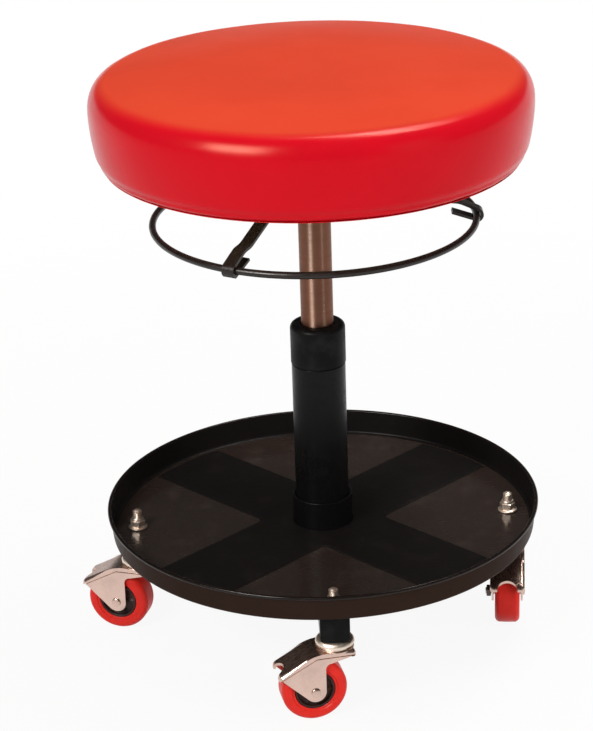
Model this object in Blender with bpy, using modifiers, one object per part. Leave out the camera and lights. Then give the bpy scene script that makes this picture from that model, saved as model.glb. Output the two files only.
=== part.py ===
"""Pneumatic rolling stool: round padded seat, gas lift, ring release lever, and a parts tray on casters.

Metres, +Z up. The origin is on the floor, on the column's axis, and the front of the stool faces -Y.
"""

import math

import bmesh
import bpy
from mathutils import Matrix, Vector

# Clearances
GAP = 0.0003
BORE_GAP = 0.0004

# Casters
WHEEL_DIAMETER = 0.056
WHEEL_WIDTH = 0.022
TREAD_ROUND = 0.0065
CORE_DIAMETER = 0.034
CORE_WIDTH = 0.020
CORE_DISH_DEPTH = 0.003
CORE_BOSS_DIAMETER = 0.013
AXLE_DIAMETER = 0.006
AXLE_HEAD_DIAMETER = 0.009
AXLE_HEAD_THICKNESS = 0.002
AXLE_NUT_ACROSS_FLATS = 0.010
AXLE_NUT_THICKNESS = 0.004
AXLE_END_STANDOUT = 0.001
CASTER_TRAIL = 0.020
FORK_WALL = 0.002
FORK_SIDE_GAP = 0.0012
FORK_TIP_RADIUS = 0.009
FORK_CROWN_GAP = 0.006
FORK_CROWN_DIAMETER = 0.032
FORK_NOSE = 0.0145
FORK_NOSE_DEPTH = 0.0055
FORK_THROAT_DEPTH = 0.0105
FORK_THROAT_ROUND = 0.005
FORK_HOOD_REACH = 0.031
FORK_HOOD_DROP = 0.017
FORK_HOOD_LIP = 0.0035
KINGPIN_DIAMETER = 0.012
KINGPIN_HEAD_DIAMETER = 0.017
KINGPIN_HEAD_THICKNESS = 0.003
RACEWAY_DIAMETER = 0.033
RACEWAY_HEIGHT = 0.0075
RACEWAY_GROOVE = 0.0022
STUD_DIAMETER = 0.008
STUD_STANDOUT = 0.018
CASTERS = {
    # name: (bearing of the stud, bearing that the wheel trails in), degrees
    "front": (-88, 192),
    "left": (182, 163),
    "right": (2, -95),
    "back": (92, 15),
}

# Base arms, hub and column
ARM_SIZE = 0.025
ARM_WALL = 0.002
ARM_CORNER = 0.0025
ARM_INSET = 0.009
STUD_INSET = 0.013
PLUG_CAP = 0.002
PLUG_SPIGOT = 0.005
COLUMN_DIAMETER = 0.0468
COLUMN_WALL = 0.0022
COLUMN_WEB = 0.003
COLUMN_LENGTH = 0.1755
HUB_WALL = 0.0026
HUB_LEDGE = 0.003
HUB_LEDGE_WIDTH = 0.005
HUB_STANDOUT = 0.027
BUSH_HEAD_LENGTH = 0.0365
BUSH_HEAD_DIAMETER = 0.0478
BUSH_HEAD_ROUND = 0.0045
BUSH_SPIGOT_LENGTH = 0.050

# Tray
TRAY_SHEET = 0.0012
TRAY_DEPTH = 0.024
TRAY_RIM_DIAMETER = 0.378
TRAY_FLARE = 0.002
TRAY_CORNER = 0.004
RIM_ROLL_DIAMETER = 0.0034
CROSS_WIDTH = 0.072
CROSS_INSET = 0.010
CROSS_RISE = 0.0015

# Flange nuts
NUT_ACROSS_FLATS = 0.012
NUT_HEIGHT = 0.0075
NUT_FLANGE_DIAMETER = 0.017
NUT_FLANGE_THICKNESS = 0.002

# Gas lift
TUBE_DIAMETER = 0.028
TUBE_WALL = 0.002
TUBE_BELOW_BUSH = 0.011
TUBE_HEAD_DIAMETER = 0.0264
TUBE_HEAD_WALL = 0.015
PIN_DIAMETER = 0.008
PIN_LENGTH = 0.022
PIN_STANDOUT = 0.008
END_GUIDE_LENGTH = 0.016
END_GUIDE_INSET = 0.0015
ROD_DIAMETER = 0.010
ROD_TIP_DIAMETER = 0.008
LIFT_RISE = 0.030
LIFT_MARGIN = 0.014
ROD_FLANGE_DIAMETER = 0.018
ROD_FLANGE_THICKNESS = 0.003
PISTON_LENGTH = 0.012
ROD_TIP_STANDOUT = 0.003
BEARING_DIAMETER = 0.026
BEARING_HEIGHT = 0.005
CLIP_DIAMETER = 0.018
CLIP_THICKNESS = 0.0016

# Seat
SEAT_HEIGHT = 0.509
SEAT_THICKNESS = 0.069
SEAT_DIAMETER = 0.3694
SEAT_TOP_DRAW = 0.0007
SEAT_BOTTOM_DRAW = 0.0062
SEAT_TOP_ROUND = 0.013
SEAT_BOTTOM_ROUND = 0.006
SEAT_CROWN = 0.006
BOARD_MARGIN = 0.0185
BOARD_THICKNESS = 0.012
BRACKET_SHEET = 0.003
BRACKET_PLATE_DIAMETER = 0.084
BRACKET_PLATE_BELOW_HEAD = 0.007
BRACKET_LEG_WIDTH = 0.030
BRACKET_LEG_RUN = 0.034
BRACKET_FOOT_LENGTH = 0.028
SOCKET_DIAMETER = 0.036
SOCKET_FLANGE_DIAMETER = 0.050
SOCKET_FLANGE_THICKNESS = 0.003
SOCKET_LENGTH = 0.025
SOCKET_BELOW_HEAD = 0.002
BOLT_DIAMETER = 0.008
BOLT_HEAD_ACROSS_FLATS = 0.013
BOLT_HEAD_HEIGHT = 0.0053
BOLT_REACH = 0.010

# Ring lever
RING_DIAMETER = 0.274
RING_DROP = 0.058
RING_WIRE_DIAMETER = 0.006
STRIP_WIDTH = 0.011
STRIP_THICKNESS = 0.0026
STRIP_DROP = 0.012
STRIP_LOOP_GAP = 0.0006
STRIP_RETURN_LENGTH = 0.023
LEVER_HUB_DIAMETER = 0.068
LEVER_HUB_SHEET = 0.003
LEVER_RIM_DIAMETER = 0.048
LEVER_RIM_WALL = 0.004
LEVER_ARM_BEARINGS = (-120, 0, 120)

# Roundness
COARSE, MEDIUM, ROUND, FINE, FINEST = 12, 16, 24, 32, 48

# Heights that follow from the sizes above, from the floor up
axle_z = WHEEL_DIAMETER / 2
fork_roof_z = WHEEL_DIAMETER + FORK_CROWN_GAP
fork_top_z = fork_roof_z + FORK_WALL
raceway_bottom_z = fork_top_z + GAP
raceway_top_z = raceway_bottom_z + RACEWAY_HEIGHT
arm_bottom_z = raceway_top_z + GAP
arm_top_z = arm_bottom_z + ARM_SIZE
tray_bottom_z = arm_top_z + GAP
tray_floor_z = tray_bottom_z + TRAY_SHEET
tray_rim_z = tray_bottom_z + TRAY_DEPTH
hub_top_z = tray_floor_z + HUB_STANDOUT
column_bottom_z = arm_bottom_z + HUB_LEDGE + GAP
column_top_z = column_bottom_z + COLUMN_LENGTH
bush_bottom_z = column_top_z + GAP
bush_top_z = bush_bottom_z + BUSH_HEAD_LENGTH
bearing_bottom_z = column_bottom_z + COLUMN_WEB + GAP
bearing_top_z = bearing_bottom_z + BEARING_HEIGHT
rod_flange_z = bearing_top_z + GAP
clip_top_z = column_bottom_z - GAP
rod_bottom_z = clip_top_z - CLIP_THICKNESS
seat_bottom_z = SEAT_HEIGHT - SEAT_THICKNESS
bracket_foot_z = seat_bottom_z - GAP
strip_z = seat_bottom_z - STRIP_DROP
lever_hub_top_z = strip_z - STRIP_THICKNESS / 2 - GAP
lever_hub_bottom_z = lever_hub_top_z - LEVER_HUB_SHEET
pin_top_z = lever_hub_bottom_z - GAP
tube_top_z = pin_top_z - PIN_STANDOUT
bracket_plate_z = tube_top_z - BRACKET_PLATE_BELOW_HEAD
socket_top_z = tube_top_z - SOCKET_BELOW_HEAD
socket_bottom_z = socket_top_z - SOCKET_LENGTH
tube_bottom_z = bush_bottom_z - BUSH_SPIGOT_LENGTH - TUBE_BELOW_BUSH
end_guide_top_z = tube_bottom_z + END_GUIDE_INSET + END_GUIDE_LENGTH
rod_shoulder_z = end_guide_top_z + LIFT_RISE + LIFT_MARGIN
ring_z = seat_bottom_z - RING_DROP

# Radii that follow from them
column_bore_radius = COLUMN_DIAMETER / 2 - COLUMN_WALL
hub_bore_radius = COLUMN_DIAMETER / 2 + GAP
hub_radius = hub_bore_radius + HUB_WALL
tray_rim_radius = TRAY_RIM_DIAMETER / 2
tray_floor_radius = tray_rim_radius - TRAY_FLARE
arm_reach = tray_floor_radius - ARM_INSET
caster_circle_radius = arm_reach - STUD_INSET
fork_inner_half = WHEEL_WIDTH / 2 + FORK_SIDE_GAP
fork_outer_half = fork_inner_half + FORK_WALL
tube_bore_radius = TUBE_DIAMETER / 2 - TUBE_WALL
seat_top_radius = SEAT_DIAMETER / 2 - SEAT_TOP_DRAW
seat_bottom_radius = SEAT_DIAMETER / 2 - SEAT_BOTTOM_DRAW
board_radius = seat_bottom_radius - BOARD_MARGIN
fulcrum_radius = LEVER_RIM_DIAMETER / 2 - LEVER_RIM_WALL / 2


def clear_scene():
    for obj in list(bpy.data.objects):
        bpy.data.objects.remove(obj, do_unlink=True)


def new_collection(name):
    collection = bpy.data.collections.new(name)
    bpy.context.scene.collection.children.link(collection)
    return collection


clear_scene()
parts = new_collection("pneumatic_rolling_stool")
cutters = new_collection("cutters")


def material(name, colour, roughness, metallic=0.0):
    made = bpy.data.materials.new(name)
    made.use_nodes = True
    shader = made.node_tree.nodes["Principled BSDF"]
    shader.inputs["Base Color"].default_value = (*colour, 1.0)
    shader.inputs["Roughness"].default_value = roughness
    shader.inputs["Metallic"].default_value = metallic
    return made


RED_VINYL = material("red_vinyl", (0.72, 0.02, 0.01), 0.35)
PLYWOOD = material("plywood", (0.55, 0.38, 0.2), 0.7)
BLACK_STEEL = material("black_steel", (0.015, 0.014, 0.014), 0.25)
BLACK_PLASTIC = material("black_plastic", (0.02, 0.02, 0.02), 0.5)
BRIGHT_STEEL = material("bright_steel", (0.6, 0.5, 0.42), 0.2, 1.0)
ZINC = material("zinc_plate", (0.72, 0.7, 0.67), 0.3, 1.0)
DARK_STEEL = material("dark_steel", (0.12, 0.12, 0.12), 0.4, 1.0)
RED_TREAD = material("red_tread", (0.75, 0.03, 0.03), 0.4)


def empty(name, location, parent=None, turn=0.0):
    made = bpy.data.objects.new(name, None)
    made.empty_display_size = 0.03
    made.location = location
    made.rotation_euler = (0, 0, turn)
    made.parent = parent
    parts.objects.link(made)
    return made


def add_part(name, mesh, finish, parent, location=(0, 0, 0), rotation=(0, 0, 0)):
    """One named sub-part, placed in its parent's frame."""
    made = bpy.data.objects.new(name, mesh)
    mesh.materials.clear()
    mesh.materials.append(finish)
    made.parent = parent
    made.location = location
    made.rotation_euler = rotation
    parts.objects.link(made)
    return made


def cut(target, cutter, operation="DIFFERENCE"):
    change = target.modifiers.new(operation.lower(), "BOOLEAN")
    change.operation = operation
    change.solver = "EXACT"
    change.object = cutter


def add_cutter(name, mesh, parent, location=(0, 0, 0), rotation=(0, 0, 0)):
    made = bpy.data.objects.new(name, mesh)
    made.parent = parent
    made.location = location
    made.rotation_euler = rotation
    made.hide_render = True
    made.display_type = "WIRE"
    cutters.objects.link(made)
    return made


def applied(obj):
    """The object's shape with its modifiers applied, as a new mesh, smooth but for its sharp edges."""
    bpy.context.view_layer.update()
    graph = bpy.context.evaluated_depsgraph_get()
    mesh = bpy.data.meshes.new_from_object(obj.evaluated_get(graph))
    mesh.name = obj.name
    mesh.shade_smooth()
    mesh.set_sharp_from_angle(angle=math.radians(35))
    return mesh


def consumed(obj):
    """The applied mesh of a template object, which is then removed."""
    mesh = applied(obj)
    bpy.data.objects.remove(obj, do_unlink=True)
    return mesh


def profile_mesh(name, profile, ring):
    mesh = bpy.data.meshes.new(name)
    points = [(radius, 0.0, height) for radius, height in profile]
    edges = [(i, i + 1) for i in range(len(points) - 1)]
    if ring:
        edges.append((len(points) - 1, 0))
    mesh.from_pydata(points, edges, [])
    return mesh


def turn_profile(obj, steps):
    screw = obj.modifiers.new("turn", "SCREW")
    screw.axis = "Z"
    screw.angle = math.tau
    screw.steps = steps
    screw.render_steps = steps
    screw.use_merge_vertices = True
    screw.merge_threshold = 0.00001


def turned(name, profile, steps, finish, parent, ring=True, location=(0, 0, 0)):
    """A turned sub-part: its profile runs down the outer side, and a ring's runs back up the bore."""
    made = add_part(name, profile_mesh(name, profile, ring), finish, parent, location)
    turn_profile(made, steps)
    return made


def turned_mesh(name, profile, steps, ring=True):
    template = bpy.data.objects.new(name, profile_mesh(name, profile, ring))
    cutters.objects.link(template)
    turn_profile(template, steps)
    return consumed(template)


def tube_profile(outer, inner, bottom, top):
    return [(outer, top), (outer, bottom), (inner, bottom), (inner, top)]


def arc(centre, radius, start, end, count):
    """Points on an arc, angles in degrees from +X, both ends included."""
    points = []
    for i in range(count + 1):
        angle = math.radians(start + (end - start) * i / count)
        points.append((centre[0] + radius * math.cos(angle), centre[1] + radius * math.sin(angle)))
    return points


def cylinder_mesh(name, radius, depth, segments=MEDIUM):
    """A capped cylinder, or a hexagon with 6 segments, centred on the origin along Z."""
    mesh = bpy.data.meshes.new(name)
    shape = bmesh.new()
    bmesh.ops.create_cone(
        shape, cap_ends=True, segments=segments, radius1=radius, radius2=radius, depth=depth
    )
    shape.to_mesh(mesh)
    shape.free()
    return mesh


def box_mesh(name, size, centre=(0, 0, 0)):
    mesh = bpy.data.meshes.new(name)
    shape = bmesh.new()
    placed = Matrix.Translation(centre) @ Matrix.Diagonal((*size, 1.0))
    bmesh.ops.create_cube(shape, size=1.0, matrix=placed)
    shape.to_mesh(mesh)
    shape.free()
    return mesh


def prism_mesh(name, outlines, thickness, upright=False):
    """A flat outline, with any holes, made thick about its plane: XY, or XZ when upright."""
    curve = bpy.data.curves.new(name, "CURVE")
    curve.dimensions = "2D"
    curve.fill_mode = "BOTH"
    curve.extrude = thickness / 2
    for outline in outlines:
        spline = curve.splines.new("POLY")
        spline.points.add(len(outline) - 1)
        for point, (x, y) in zip(spline.points, outline):
            point.co = (x, y, 0.0, 1.0)
        spline.use_cyclic_u = True
    template = bpy.data.objects.new(name, curve)
    cutters.objects.link(template)
    mesh = consumed(template)
    shape = bmesh.new()
    shape.from_mesh(mesh)
    bmesh.ops.remove_doubles(shape, verts=shape.verts, dist=0.000001)
    if upright:
        bmesh.ops.rotate(shape, verts=shape.verts, matrix=Matrix.Rotation(math.pi / 2, 3, "X"))
    bmesh.ops.recalc_face_normals(shape, faces=shape.faces)
    shape.to_mesh(mesh)
    shape.free()
    return mesh


def strip_outline(path, thickness):
    """The edge outline of a flat strip bent along a path of (reach, height) points."""
    points = [Vector(point) for point in path]
    left, right = [], []
    for i, point in enumerate(points):
        before = points[max(i - 1, 0)]
        after = points[min(i + 1, len(points) - 1)]
        first = (point - before).normalized() if i else (after - point).normalized()
        second = (after - point).normalized() if i < len(points) - 1 else first
        along = (first + second).normalized()
        stretch = thickness / 2 / max(along.dot(first), 0.5)
        side = Vector((-along.y, along.x)) * stretch
        left.append(tuple(point + side))
        right.append(tuple(point - side))
    return left + right[::-1]


def square_outline(size, corner):
    half = size / 2
    inset = half - corner
    return [
        (half, -inset), (half, inset), (inset, half), (-inset, half),
        (-half, inset), (-half, -inset), (-inset, -half), (inset, -half),
    ]


def around(bearing, reach, height=0.0):
    angle = math.radians(bearing)
    return Vector((reach * math.cos(angle), reach * math.sin(angle), height))


# Frames of the moving bodies: each empty lies on its joint's axis
base = empty("base_frame", (0, 0, 0))
swivel = empty("seat_swivel_axis", (0, 0, column_bottom_z), base)
lift = empty("seat_lift_axis", (0, 0, seat_bottom_z - column_bottom_z), swivel)
lever = empty("ring_lever_axis", (0, -fulcrum_radius, -GAP), lift)
pin_axis = empty("release_pin_axis", (0, 0, pin_top_z - seat_bottom_z), lift)


def in_swivel(height):
    return height - column_bottom_z


def in_lift(height):
    return height - seat_bottom_z


def in_lever(point):
    return Vector(point) - Vector((0, -fulcrum_radius, bracket_foot_z))


def lowered(profile, by):
    return [(radius, height - by) for radius, height in profile]


def seat_profile():
    """Crown, rounded top edge, sides drawn in towards the bottom, and the recess for the board."""
    swell = SEAT_DIAMETER / 2 - (seat_top_radius + seat_bottom_radius) / 2
    flat_radius = seat_top_radius - SEAT_TOP_ROUND
    crown_points, side_points, round_points = 6, 5, 3
    profile = []
    for i in range(crown_points):
        share = i / crown_points
        profile.append((flat_radius * share, SEAT_HEIGHT + SEAT_CROWN * (1 - share**2)))
    profile += arc((flat_radius, SEAT_HEIGHT - SEAT_TOP_ROUND), SEAT_TOP_ROUND, 90, 0, round_points)
    side_height = SEAT_THICKNESS - SEAT_TOP_ROUND - SEAT_BOTTOM_ROUND
    for i in range(1, side_points):
        share = (SEAT_TOP_ROUND + side_height * i / side_points) / SEAT_THICKNESS
        straight = seat_top_radius + (seat_bottom_radius - seat_top_radius) * share
        radius = straight + 4 * swell * share * (1 - share)
        profile.append((radius, SEAT_HEIGHT - SEAT_THICKNESS * share))
    corner = (seat_bottom_radius - SEAT_BOTTOM_ROUND, seat_bottom_z + SEAT_BOTTOM_ROUND)
    profile += arc(corner, SEAT_BOTTOM_ROUND, 0, -90, round_points)
    recess_radius = board_radius + GAP
    recess_z = seat_bottom_z + BOARD_THICKNESS + GAP
    profile += [(recess_radius, seat_bottom_z), (recess_radius, recess_z), (0.0, recess_z)]
    return profile


def build_seat():
    turned("seat_cushion", lowered(seat_profile(), seat_bottom_z), FINEST, RED_VINYL, lift, ring=False)
    profile = [(0.0, BOARD_THICKNESS), (board_radius, BOARD_THICKNESS), (board_radius, 0.0), (0.0, 0.0)]
    board = turned("seat_board", profile, FINEST, PLYWOOD, lift, ring=False)
    bracket = build_bracket()
    for number, bearing in enumerate(leg_bearings(), start=1):
        build_bolt(number, bearing, board, bracket)
    build_socket()


def leg_bearings():
    """The bracket's legs stand midway between the lever's arms."""
    half_pitch = 180 / len(LEVER_ARM_BEARINGS)
    return [bearing + half_pitch for bearing in LEVER_ARM_BEARINGS]


def bolt_circle_radius():
    return BRACKET_PLATE_DIAMETER / 2 + BRACKET_LEG_RUN + BRACKET_FOOT_LENGTH / 2


def build_bracket():
    plate_radius = BRACKET_PLATE_DIAMETER / 2
    hole_radius = SOCKET_DIAMETER / 2 + GAP
    profile = tube_profile(plate_radius, hole_radius, bracket_plate_z - BRACKET_SHEET, bracket_plate_z)
    bracket = turned("seat_bracket", lowered(profile, seat_bottom_z), ROUND, BLACK_STEEL, lift)
    low = in_lift(bracket_plate_z - BRACKET_SHEET / 2)
    high = in_lift(bracket_foot_z - BRACKET_SHEET / 2)
    start = hole_radius + (plate_radius - hole_radius) / 2
    path = [
        (start, low),
        (plate_radius, low),
        (plate_radius + BRACKET_LEG_RUN, high),
        (plate_radius + BRACKET_LEG_RUN + BRACKET_FOOT_LENGTH, high),
    ]
    outline = strip_outline(path, BRACKET_SHEET)
    for number, bearing in enumerate(leg_bearings(), start=1):
        mesh = prism_mesh(f"bracket_leg_{number}", [outline], BRACKET_LEG_WIDTH, upright=True)
        leg = add_cutter(f"bracket_leg_{number}", mesh, lift, rotation=(0, 0, math.radians(bearing)))
        cut(bracket, leg, "UNION")
    return bracket


def build_bolt(number, bearing, board, bracket):
    place = around(bearing, bolt_circle_radius())
    hole_radius = BOLT_DIAMETER / 2 + BORE_GAP
    depth = 2 * (BOARD_THICKNESS + BRACKET_SHEET + BOLT_HEAD_HEIGHT)
    drill = cylinder_mesh("bolt_hole", hole_radius, depth, COARSE)
    hole = add_cutter(f"bolt_hole_{number}", drill, lift, place)
    cut(board, hole)
    cut(bracket, hole)
    head_top = in_lift(bracket_foot_z - BRACKET_SHEET - GAP)
    shank = turned_mesh(
        "bolt_shank",
        [
            (0.0, BOLT_REACH),
            (BOLT_DIAMETER / 2, BOLT_REACH),
            (BOLT_DIAMETER / 2, head_top - BOLT_HEAD_HEIGHT / 2),
            (0.0, head_top - BOLT_HEAD_HEIGHT / 2),
        ],
        COARSE,
        ring=False,
    )
    head_radius = BOLT_HEAD_ACROSS_FLATS / math.sqrt(3)
    head = cylinder_mesh("bolt_head", head_radius, BOLT_HEAD_HEIGHT, 6)
    centre = place + Vector((0, 0, head_top - BOLT_HEAD_HEIGHT / 2))
    bolt = add_part(f"seat_bolt_{number}", head, ZINC, lift, centre)
    cut(bolt, add_cutter(f"bolt_shank_{number}", shank, lift, place), "UNION")


def tube_radius_at(height):
    """The head tapers from the tube's full radius at the socket's foot to its top."""
    share = max(0.0, (height - socket_bottom_z) / (tube_top_z - socket_bottom_z))
    return TUBE_DIAMETER / 2 + (TUBE_HEAD_DIAMETER - TUBE_DIAMETER) / 2 * share


def build_socket():
    outer = SOCKET_DIAMETER / 2
    flange_top = bracket_plate_z - BRACKET_SHEET - GAP
    flange_bottom = flange_top - SOCKET_FLANGE_THICKNESS
    profile = [
        (outer, socket_top_z),
        (outer, flange_top),
        (SOCKET_FLANGE_DIAMETER / 2, flange_top),
        (SOCKET_FLANGE_DIAMETER / 2, flange_bottom),
        (outer, flange_bottom),
        (outer, socket_bottom_z),
        (tube_radius_at(socket_bottom_z) + GAP, socket_bottom_z),
        (tube_radius_at(socket_top_z) + GAP, socket_top_z),
    ]
    turned("taper_socket", lowered(profile, seat_bottom_z), ROUND, BLACK_STEEL, lift)


def build_gas_lift():
    pin_bore = PIN_DIAMETER / 2 + BORE_GAP
    roof_z = tube_top_z - TUBE_HEAD_WALL
    profile = [
        (TUBE_HEAD_DIAMETER / 2, tube_top_z),
        (TUBE_DIAMETER / 2, socket_bottom_z),
        (TUBE_DIAMETER / 2, tube_bottom_z),
        (tube_bore_radius, tube_bottom_z),
        (tube_bore_radius, roof_z),
        (pin_bore, roof_z),
        (pin_bore, tube_top_z),
    ]
    turned("pressure_tube", lowered(profile, seat_bottom_z), FINE, BRIGHT_STEEL, lift)
    guide_bottom = tube_bottom_z + END_GUIDE_INSET
    profile = tube_profile(tube_bore_radius - GAP, ROD_DIAMETER / 2 + BORE_GAP, guide_bottom, end_guide_top_z)
    turned("tube_end_guide", lowered(profile, seat_bottom_z), ROUND, DARK_STEEL, lift)
    profile = [(0.0, 0.0), (PIN_DIAMETER / 2, 0.0), (PIN_DIAMETER / 2, -PIN_LENGTH), (0.0, -PIN_LENGTH)]
    turned("release_pin", profile, COARSE, ZINC, pin_axis, ring=False)
    build_piston()


def build_piston():
    tip_radius = ROD_TIP_DIAMETER / 2
    tip_top = rod_shoulder_z + GAP + PISTON_LENGTH + ROD_TIP_STANDOUT
    profile = [
        (0.0, tip_top),
        (tip_radius, tip_top),
        (tip_radius, rod_shoulder_z),
        (ROD_DIAMETER / 2, rod_shoulder_z),
        (ROD_DIAMETER / 2, rod_flange_z + ROD_FLANGE_THICKNESS),
        (ROD_FLANGE_DIAMETER / 2, rod_flange_z + ROD_FLANGE_THICKNESS),
        (ROD_FLANGE_DIAMETER / 2, rod_flange_z),
        (ROD_DIAMETER / 2, rod_flange_z),
        (ROD_DIAMETER / 2, rod_bottom_z),
        (0.0, rod_bottom_z),
    ]
    turned("piston_rod", lowered(profile, column_bottom_z), MEDIUM, BRIGHT_STEEL, swivel, ring=False)
    bottom = rod_shoulder_z + GAP
    profile = tube_profile(tube_bore_radius - GAP, tip_radius + GAP, bottom, bottom + PISTON_LENGTH)
    turned("piston", lowered(profile, column_bottom_z), ROUND, DARK_STEEL, swivel)
    profile = tube_profile(CLIP_DIAMETER / 2, ROD_DIAMETER / 2 + GAP, rod_bottom_z, clip_top_z)
    turned("rod_clip", lowered(profile, column_bottom_z), MEDIUM, DARK_STEEL, swivel)


def strip_path():
    """Level over the hub, down to the hoop, round its wire and back underneath."""
    wire = Vector((RING_DIAMETER / 2, ring_z))
    bend = RING_WIRE_DIAMETER / 2 + STRIP_LOOP_GAP + STRIP_THICKNESS / 2
    inner = LEVER_RIM_DIAMETER / 2 + GAP
    edge = Vector((LEVER_HUB_DIAMETER / 2, strip_z))
    reach = wire - edge
    slope = math.atan2(reach.y, reach.x) + math.asin(bend / reach.length)
    start_angle = math.degrees(slope) + 90
    loop = arc(wire, bend, start_angle, start_angle - 180, 10)
    back = Vector((-math.cos(slope), -math.sin(slope))) * STRIP_RETURN_LENGTH
    return [(inner, strip_z), tuple(edge), *loop, tuple(Vector(loop[-1]) + back)]


def build_ring_lever():
    rim = LEVER_RIM_DIAMETER / 2
    rim_bore = rim - LEVER_RIM_WALL
    profile = [
        (0.0, lever_hub_top_z),
        (rim_bore, lever_hub_top_z),
        (rim_bore, bracket_foot_z),
        (rim, bracket_foot_z),
        (rim, lever_hub_top_z),
        (LEVER_HUB_DIAMETER / 2, lever_hub_top_z),
        (LEVER_HUB_DIAMETER / 2, lever_hub_bottom_z),
        (0.0, lever_hub_bottom_z),
    ]
    turned("lever_hub", profile, ROUND, BLACK_STEEL, lever, ring=False, location=in_lever((0, 0, 0)))
    outline = strip_outline(strip_path(), STRIP_THICKNESS)
    for number, bearing in enumerate(LEVER_ARM_BEARINGS, start=1):
        mesh = prism_mesh(f"lever_arm_{number}", [outline], STRIP_WIDTH, upright=True)
        turn = (0, 0, math.radians(bearing))
        add_part(f"lever_arm_{number}", mesh, BLACK_STEEL, lever, in_lever((0, 0, 0)), turn)
    build_hoop()


def build_hoop():
    curve = bpy.data.curves.new("lever_ring", "CURVE")
    curve.dimensions = "3D"
    curve.bevel_depth = RING_WIRE_DIAMETER / 2
    curve.bevel_resolution = 2
    spline = curve.splines.new("POLY")
    spline.points.add(FINEST - 1)
    for i, point in enumerate(spline.points):
        point.co = (*around(360 * i / FINEST, RING_DIAMETER / 2), 1.0)
    spline.use_cyclic_u = True
    add_part("lever_ring", curve, BLACK_STEEL, lever, in_lever((0, 0, ring_z)))


def build_column():
    outer = COLUMN_DIAMETER / 2
    rod_hole = ROD_DIAMETER / 2 + BORE_GAP
    profile = [
        (outer, column_top_z),
        (outer, column_bottom_z),
        (rod_hole, column_bottom_z),
        (rod_hole, column_bottom_z + COLUMN_WEB),
        (column_bore_radius, column_bottom_z + COLUMN_WEB),
        (column_bore_radius, column_top_z),
    ]
    turned("column_tube", profile, FINE, BLACK_STEEL, base)
    bush_radius = BUSH_HEAD_DIAMETER / 2
    spigot_radius = column_bore_radius - GAP
    bore = TUBE_DIAMETER / 2 + BORE_GAP
    shoulder = (bush_radius - BUSH_HEAD_ROUND, bush_top_z - BUSH_HEAD_ROUND)
    profile = [
        *arc(shoulder, BUSH_HEAD_ROUND, 90, 0, 3),
        (bush_radius, bush_bottom_z),
        (spigot_radius, bush_bottom_z),
        (spigot_radius, bush_bottom_z - BUSH_SPIGOT_LENGTH),
        (bore, bush_bottom_z - BUSH_SPIGOT_LENGTH),
        (bore, bush_top_z),
    ]
    turned("guide_bush", profile, FINE, BLACK_PLASTIC, base)
    profile = tube_profile(
        BEARING_DIAMETER / 2, ROD_DIAMETER / 2 + BORE_GAP, bearing_bottom_z, bearing_top_z
    )
    turned("thrust_bearing", profile, MEDIUM, DARK_STEEL, base)
    ledge_radius = hub_bore_radius - HUB_LEDGE_WIDTH
    profile = [
        (hub_radius, hub_top_z),
        (hub_radius, arm_bottom_z),
        (ledge_radius, arm_bottom_z),
        (ledge_radius, arm_bottom_z + HUB_LEDGE),
        (hub_bore_radius, arm_bottom_z + HUB_LEDGE),
        (hub_bore_radius, hub_top_z),
    ]
    turned("base_hub", profile, FINE, BLACK_STEEL, base)


def tray_profile():
    """Down the outside of the wall, in under the floor to the hub, and back up the inside to the rim."""
    hole = hub_radius + GAP
    roll = RIM_ROLL_DIAMETER / 2
    roll_centre = (tray_rim_radius, tray_rim_z - roll)
    lean = math.degrees(math.atan2(TRAY_FLARE, TRAY_DEPTH))
    outer_corner = (tray_floor_radius - TRAY_CORNER, tray_bottom_z + TRAY_CORNER)
    return [
        *arc(roll_centre, roll, 160, -90, 5),
        *arc(outer_corner, TRAY_CORNER, -lean, -90, 3),
        (hole, tray_bottom_z),
        (hole, tray_floor_z),
        *arc(outer_corner, TRAY_CORNER - TRAY_SHEET, -90, -lean, 3),
    ]


def cross_outline(width, reach):
    """A cross whose arms run between the casters."""
    half = width / 2
    points = []
    for quarter in range(4):
        turn = Matrix.Rotation(math.radians(45 + 90 * quarter), 2)
        for corner in ((half, -half), (reach, -half), (reach, half)):
            points.append(tuple(turn @ Vector(corner)))
    return points


def build_tray():
    tray = turned("tray", tray_profile(), FINEST, BLACK_STEEL, base)
    sink = TRAY_SHEET / 2
    cross_reach = tray_floor_radius - CROSS_INSET
    raised = prism_mesh("cross_top", [cross_outline(CROSS_WIDTH, cross_reach)], CROSS_RISE + sink)
    centre = (0, 0, tray_floor_z + (CROSS_RISE - sink) / 2)
    cut(tray, add_cutter("cross_top", raised, base, centre), "UNION")
    hollow_outline = cross_outline(CROSS_WIDTH - 2 * TRAY_SHEET, cross_reach - TRAY_SHEET)
    hollow = prism_mesh("cross_hollow", [hollow_outline], 2 * CROSS_RISE)
    cut(tray, add_cutter("cross_hollow", hollow, base, (0, 0, tray_bottom_z)))
    hub_hole = cylinder_mesh("hub_hole", hub_radius + BORE_GAP, TRAY_DEPTH, FINE)
    cut(tray, add_cutter("hub_hole", hub_hole, base, (0, 0, tray_floor_z)))
    for name, (bearing, _) in CASTERS.items():
        hole = cylinder_mesh("stud_hole", STUD_DIAMETER / 2 + BORE_GAP, TRAY_DEPTH, COARSE)
        place = around(bearing, caster_circle_radius, tray_floor_z)
        cut(tray, add_cutter(f"tray_hole_{name}", hole, base, place))


def along_arm(bearing):
    """Turns a prism's axis from Z to the arm's own direction, with the section's sides level."""
    angle = math.radians(bearing)
    return Matrix.Rotation(angle, 4, "Z") @ Matrix.Rotation(math.pi / 2, 4, "Y")


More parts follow.
